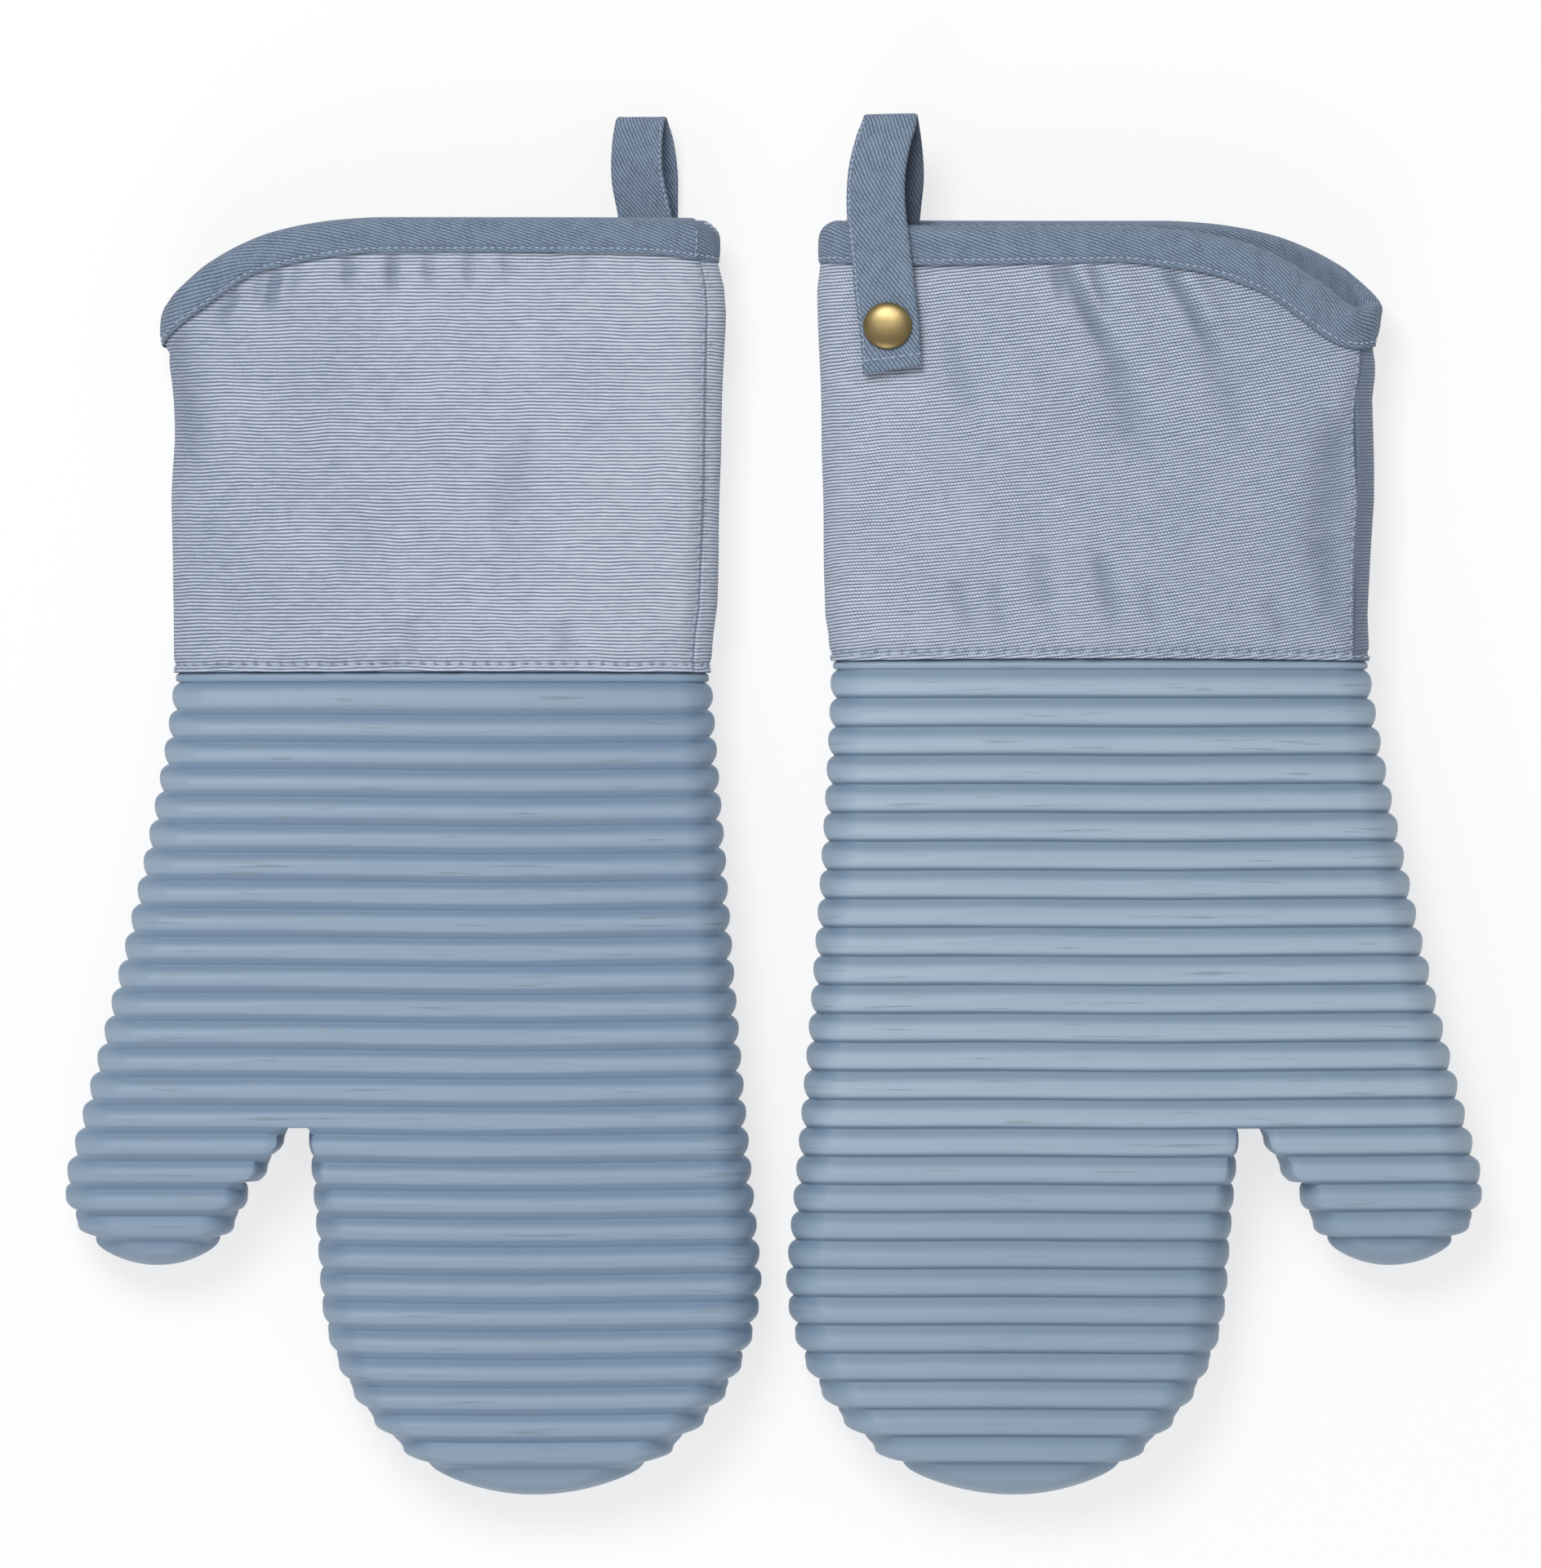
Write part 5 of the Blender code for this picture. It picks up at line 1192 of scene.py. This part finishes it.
def groundOf(x, y):
    # height and slope of the cuff's front under a point
    level = np.minimum(y, mitt["cuffHeight"])
    step = 0.5
    flat, beside = (halfHeight("whole", place, level, 0.0, 0.0) for place in (x, x + step))
    return flat, (beside - flat) / step


def smoothLine(points, pitch):
    # Catmull-Rom curve through the points, resampled to even steps of about the pitch
    p = np.array(points, float)
    p = np.concatenate([2 * p[:1] - p[1:2], p, 2 * p[-1:] - p[-2:-1]])
    t = np.linspace(0, 1, 12, endpoint=False)[:, None]
    runs = []
    for a, b, c, d in zip(p[:-3], p[1:-2], p[2:-1], p[3:]):
        runs.append(0.5 * (2 * b + (c - a) * t + (2 * a - 5 * b + 4 * c - d) * t ** 2
                           + (3 * b - a - 3 * c + d) * t ** 3))
    curve = np.concatenate(runs + [p[-2:-1]])
    spread = lengthsAlong(curve)
    places = np.linspace(0, spread[-1], max(int(spread[-1] / pitch), 2))
    return np.stack([np.interp(places, spread, curve[:, k]) for k in range(3)], axis=-1), places


def strapGrid(side):
    # middle line lifted off the cuff, carried across by the width along the cuff's slope
    line = np.array(strapLines[side])
    ground, _ = groundOf(line[:, 0], line[:, 1])
    points = np.stack([line[:, 0], line[:, 1], ground + line[:, 2]], axis=-1)
    middle, places = smoothLine(points, strap["rowPitch"])
    run = unit(np.gradient(middle, axis=0))
    _, slope = groundOf(middle[:, 0], middle[:, 1])
    sideways = np.stack([np.ones(len(slope)), np.zeros(len(slope)), slope], axis=-1)
    sideways = unit(sideways - run * np.sum(sideways * run, axis=1, keepdims=True) * 0.5)
    width = table(middle[:, 1], strapWidths)
    across = np.linspace(-0.5, 0.5, strap["columns"])
    grid = middle[:, None] + sideways[:, None] * (across[None, :, None] * width[:, None, None])
    grid[..., 1] += strap["endSkew"] * (1 - ease(places / strap["skewReach"]))[:, None] * across
    normal = normalsOf(grid)
    if normal[2, strap["columns"] // 2, 2] < 0:
        normal = -normal
    bend = waves(grid[..., 0], np.broadcast_to(places[:, None], grid.shape[:2]), 31, 14, 40) * strap["bend"]
    uv = np.stack(np.broadcast_arrays(across[None, :] * strap["width"], places[:, None]), axis=-1)
    return grid + normal * bend[..., None], normal, uv, places


def slab(grid, normal, thickness, uv):
    # closed strip from a grid: both faces and the four edges, with the long edges drawn in
    drawn = np.ones(grid.shape[1])
    drawn[0] = drawn[-1] = strap["edgeDraw"]
    half = thickness / 2 * drawn[None, :, None]
    top, bottom = grid + normal * half, grid - normal * half
    turnedUv = uv[:, ::-1] * [-1, 1] + [2 * uv[0, -1, 0], 0]
    ends = [np.stack([top[row], bottom[row]]) for row in (0, -1)]
    endUvs = [np.stack([uv[row], uv[row]]) for row in (0, -1)]
    return ([np.concatenate([top, bottom[:, ::-1], top[:, :1]], axis=1), *ends],
            [np.concatenate([uv, turnedUv, uv[:, :1]], axis=1), *endUvs])


def makeStrap(side, hinge):
    # one tape, darker inside the loop as painted shade; the points blendHalf on each side of the hinge are
    # worked out but not used
    grid, normal, uv, places = strapGrid(side)
    grids, uvs = slab(grid, normal, strap["thickness"], uv)
    fromTop = places - places[loopTopRow(grid)]
    tones = [np.zeros(part.shape[:2]) for part in grids]
    inside = ease((fromTop + strap["shadeStart"]) / strap["shadeRamp"])
    tones[0][:, strap["columns"]:-1] = strap["insideShade"] * inside[:, None]
    tape = meshPiece(f"{side}_hanging_strap", grids, side, uvs, tones)
    tape.data.materials.append(materials["tape"])
    low, high = list(hinge["pos_m"]), list(hinge["pos_m"])
    low[2] -= turns[side] * strap["blendHalf"] / 1000
    high[2] += turns[side] * strap["blendHalf"] / 1000
    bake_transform(tape)
    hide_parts(f"{side}_strap_front", f"{side}_strap_back")
    return grid, normal


def loopTopRow(grid):
    # the row where the tape's middle line reaches its highest level
    return int(np.argmax(grid[:, strap["columns"] // 2, 1]))


def makeStrapStitches(side, grid, normal):
    # across the free end's hem, and down one edge of each half of the tape, clear of the fold
    top = grid + normal * strap["thickness"] / 2
    tail, fold = int(round(strap["hem"] / strap["rowPitch"])), loopTopRow(grid)
    inFront, behind = slice(tail, fold - 3), slice(fold + 3, fold + strap["backStitchRows"])
    makeStitches("edge_stitches", side, f"{side}_mitt", [
        (top[behind, 1], normal[behind, 1], *strap["edgeStitches"])])
    makeStitches("strap_stitches", side, f"{side}_strap", [
        (top[tail], normal[tail], *strap["hemStitches"]),
        (top[inFront, 1], normal[inFront, 1], *strap["edgeStitches"])])


stud = {
    "x": -53.5, "belowMouth": 28.0, "gap": 0.15, "capRadius": 6.0, "capHeight": 2.1, "capEdge": 0.6,
    "rivetRadius": 1.2, "socketRadius": 5.2, "socketHeight": 1.9, "socketFloor": 0.5,
    "ballRadius": 2.2, "ballHeight": 1.1, "flangeRadius": 5.0, "flangeThickness": 0.5,
    "postRadius": 1.1, "postFlangeRadius": 4.6, "sides": 72,
}


def turned(outline):
    # profile of (radius, height) turned about the stud's axis, as a grid
    angle = np.linspace(0, 2 * math.pi, stud["sides"] + 1)
    radius, height = np.array(outline, float).T[..., None]
    return np.stack(np.broadcast_arrays(radius * np.cos(angle), radius * np.sin(angle), height), axis=-1)


def onStudAxis(grid):
    # from the stud's own frame to the mitt's: on the cuff's facet, upright on its slope
    y = mitt["cuffHeight"] - stud["belowMouth"]
    ground, slope = (float(value) for value in groundOf(np.array(stud["x"]), np.array(y)))
    length = math.hypot(1.0, slope)
    across, along, up = np.array([[1.0, 0.0, slope], [0.0, length, 0.0], [-slope, 0.0, 1.0]]) / length
    return np.array([stud["x"], y, ground]) + sum(
        grid[..., k:k + 1] * axis for k, axis in enumerate((across, along, up)))


def makeStud(side):
    # each outline runs round the section as (radius, height); the small numbers are its roundings
    s = stud
    gap, flange, ball, socketHalf = s["gap"], s["flangeThickness"], s["ballRadius"], s["socketRadius"]
    base = 2 * gap + flange
    top = base + s["socketHeight"]
    floor = top - s["socketFloor"]
    seat = top + gap + strap["thickness"] + gap
    edge, rise = seat + s["capEdge"], s["capHeight"] - s["capEdge"]
    cap = [(s["capRadius"] * math.sin(a) ** 0.9 if a else 0.0, edge + rise * math.cos(a))
           for a in np.linspace(0, math.pi / 2, 16)]
    cap += [(s["capRadius"], seat + s["capEdge"] * 0.5), (s["capRadius"] - 0.15, seat + 0.1),
            (s["capRadius"] - 0.5, seat), (s["rivetRadius"], seat), (s["rivetRadius"], floor), (0.0, floor)]
    mouth, bore = ball + gap, s["rivetRadius"] + gap
    socket = [(bore, top), (socketHalf - 0.6, top), (socketHalf - 0.15, top - 0.2), (socketHalf, top - 0.6),
              (socketHalf - 0.1, base + 0.3), (socketHalf - 0.5, base), (mouth + 0.9, base + 0.35),
              (mouth + 0.3, base), (mouth, base + 0.2), (mouth, floor), (bore, floor), (bore, top)]
    low, high, hole, rim = gap, gap + flange, s["postRadius"] + gap, s["flangeRadius"]
    ballTop = high + s["ballHeight"]
    male = [(hole, ballTop), (ball - 0.35, ballTop), (ball - 0.1, ballTop - 0.2),
            (ball, mix(high, ballTop, 0.5)), (ball - 0.25, high + 0.15), (ball + 0.2, high),
            (rim - 0.3, high), (rim, mix(low, high, 0.5)), (rim - 0.2, low), (hole, low), (hole, ballTop)]
    inside = -cuff["panelThickness"] - gap
    post = [(0.0, ballTop - gap), (s["postRadius"], ballTop - gap), (s["postRadius"], inside),
            (s["postFlangeRadius"], inside), (s["postFlangeRadius"], inside - flange), (0.0, inside - flange)]
    for name, outline, body in (("snap_cap", cap, "strap"), ("snap_socket", socket, "strap"),
                                ("snap_stud", male, "mitt"), ("snap_post", post, "mitt")):
        piece = meshPiece(f"{side}_brass_{name}", [onStudAxis(turned(outline))], side)
        piece.data.set_sharp_from_angle(angle=math.radians(40))
        finished(piece, materials["brass"], "brass", f"{side}_{body}", f"{side}_{name}")


# Each side in turn

joints = {joint["name"]: joint for joint in frame["joints"]}
for side in ("right", "left"):
    makeShell(side)
    makePanels(side)
    bindingPoints = makeBinding(side)
    makeInside(side)
    strapPoints, strapNormal = makeStrap(side, joints[f"{side}_strap_fold"])
    makeStud(side)
    makeBindingStitches(side, bindingPoints)
    makeStrapStitches(side, strapPoints, strapNormal)
    print(side, "mitt made")

# Floor, light and camera; these lengths are in metres, but for the photograph's

studio = {
    "floorSize": 6.0, "floorReflectance": 0.33, "floorGlow": 0.40, "floorSeenGlow": 0.30,
    "worldStrength": 0.40,
    "lens": 300.0, "sensor": 36.0, "photoHeight": 1920, "millimetresPerPixel": 0.21,
    "centreX": -0.84, "centreY": 4.9, "outlineHeight": 16.5,
}
lamps = {
    "keyLight": {"place": (-0.55, 1.1, 2.2), "target": (0, 0, 0), "size": 1.1, "power": 30},
    "nearLight": {"place": (-0.5, -1.6, 1.2), "target": (0, -0.1, 0), "size": 1.2, "power": 7},
}


def makeFloor():
    # plain white sweep: it reflects a little and glows, more where the camera sees it
    made, tree, surface = newMaterial("whiteFloor")
    tree.nodes.remove(surface)
    diffuse = addNode(tree, "ShaderNodeBsdfDiffuse", {"Color": (*[studio["floorReflectance"]] * 3, 1)})
    path = addNode(tree, "ShaderNodeLightPath")
    seen = calc(tree, "MAXIMUM", path.outputs["Is Camera Ray"], path.outputs["Is Glossy Ray"])
    strength = calc(tree, "MULTIPLY_ADD", seen, studio["floorSeenGlow"], studio["floorGlow"])
    glow = addNode(tree, "ShaderNodeEmission", {"Color": (1, 1, 1, 1), "Strength": strength})
    both = addNode(tree, "ShaderNodeAddShader", {0: diffuse.outputs[0], 1: glow.outputs[0]})
    tree.links.new(both.outputs[0], tree.nodes["Material Output"].inputs["Surface"])
    bpy.ops.mesh.primitive_plane_add(size=studio["floorSize"])
    floor = bpy.context.active_object
    floor.name = "floor"
    floor.data.materials.append(made)


def makeLamp(name, place, target, size, power):
    # round area light, turned from its place to its target
    lamp = bpy.data.lights.new(name, "AREA")
    lamp.shape, lamp.size, lamp.energy = "DISK", size, power
    made = bpy.data.objects.new(name, lamp)
    bpy.context.scene.collection.objects.link(made)
    made.location = place
    made.rotation_euler = (Vector(target) - Vector(place)).to_track_quat("-Z", "Y").to_euler()


def makeWorld():
    # even white light from all round
    world = bpy.data.worlds.new("studio")
    bpy.context.scene.world = world
    world.use_nodes = True
    background = world.node_tree.nodes["Background"]
    background.inputs["Color"].default_value = (1, 1, 1, 1)
    background.inputs["Strength"].default_value = studio["worldStrength"]


def makeCamera():
    # so far up that the photograph's height fits the lens at the mitts' outline
    s = studio
    lens = bpy.data.cameras.new("camera")
    lens.lens, lens.sensor_width = s["lens"], s["sensor"]
    longSide = s["photoHeight"] * s["millimetresPerPixel"] * 0.001
    distance = longSide / 2 / (lens.sensor_width / 2 / lens.lens)
    camera = bpy.data.objects.new("camera", lens)
    camera.location = (s["centreX"] * 0.001, s["centreY"] * 0.001, s["outlineHeight"] * 0.001 + distance)
    bpy.context.scene.collection.objects.link(camera)
    bpy.context.scene.camera = camera


makeFloor()
makeWorld()
for name, lamp in lamps.items():
    makeLamp(name, **lamp)
makeCamera()
bpy.context.scene.view_settings.view_transform = "Standard"

print("scene finished")
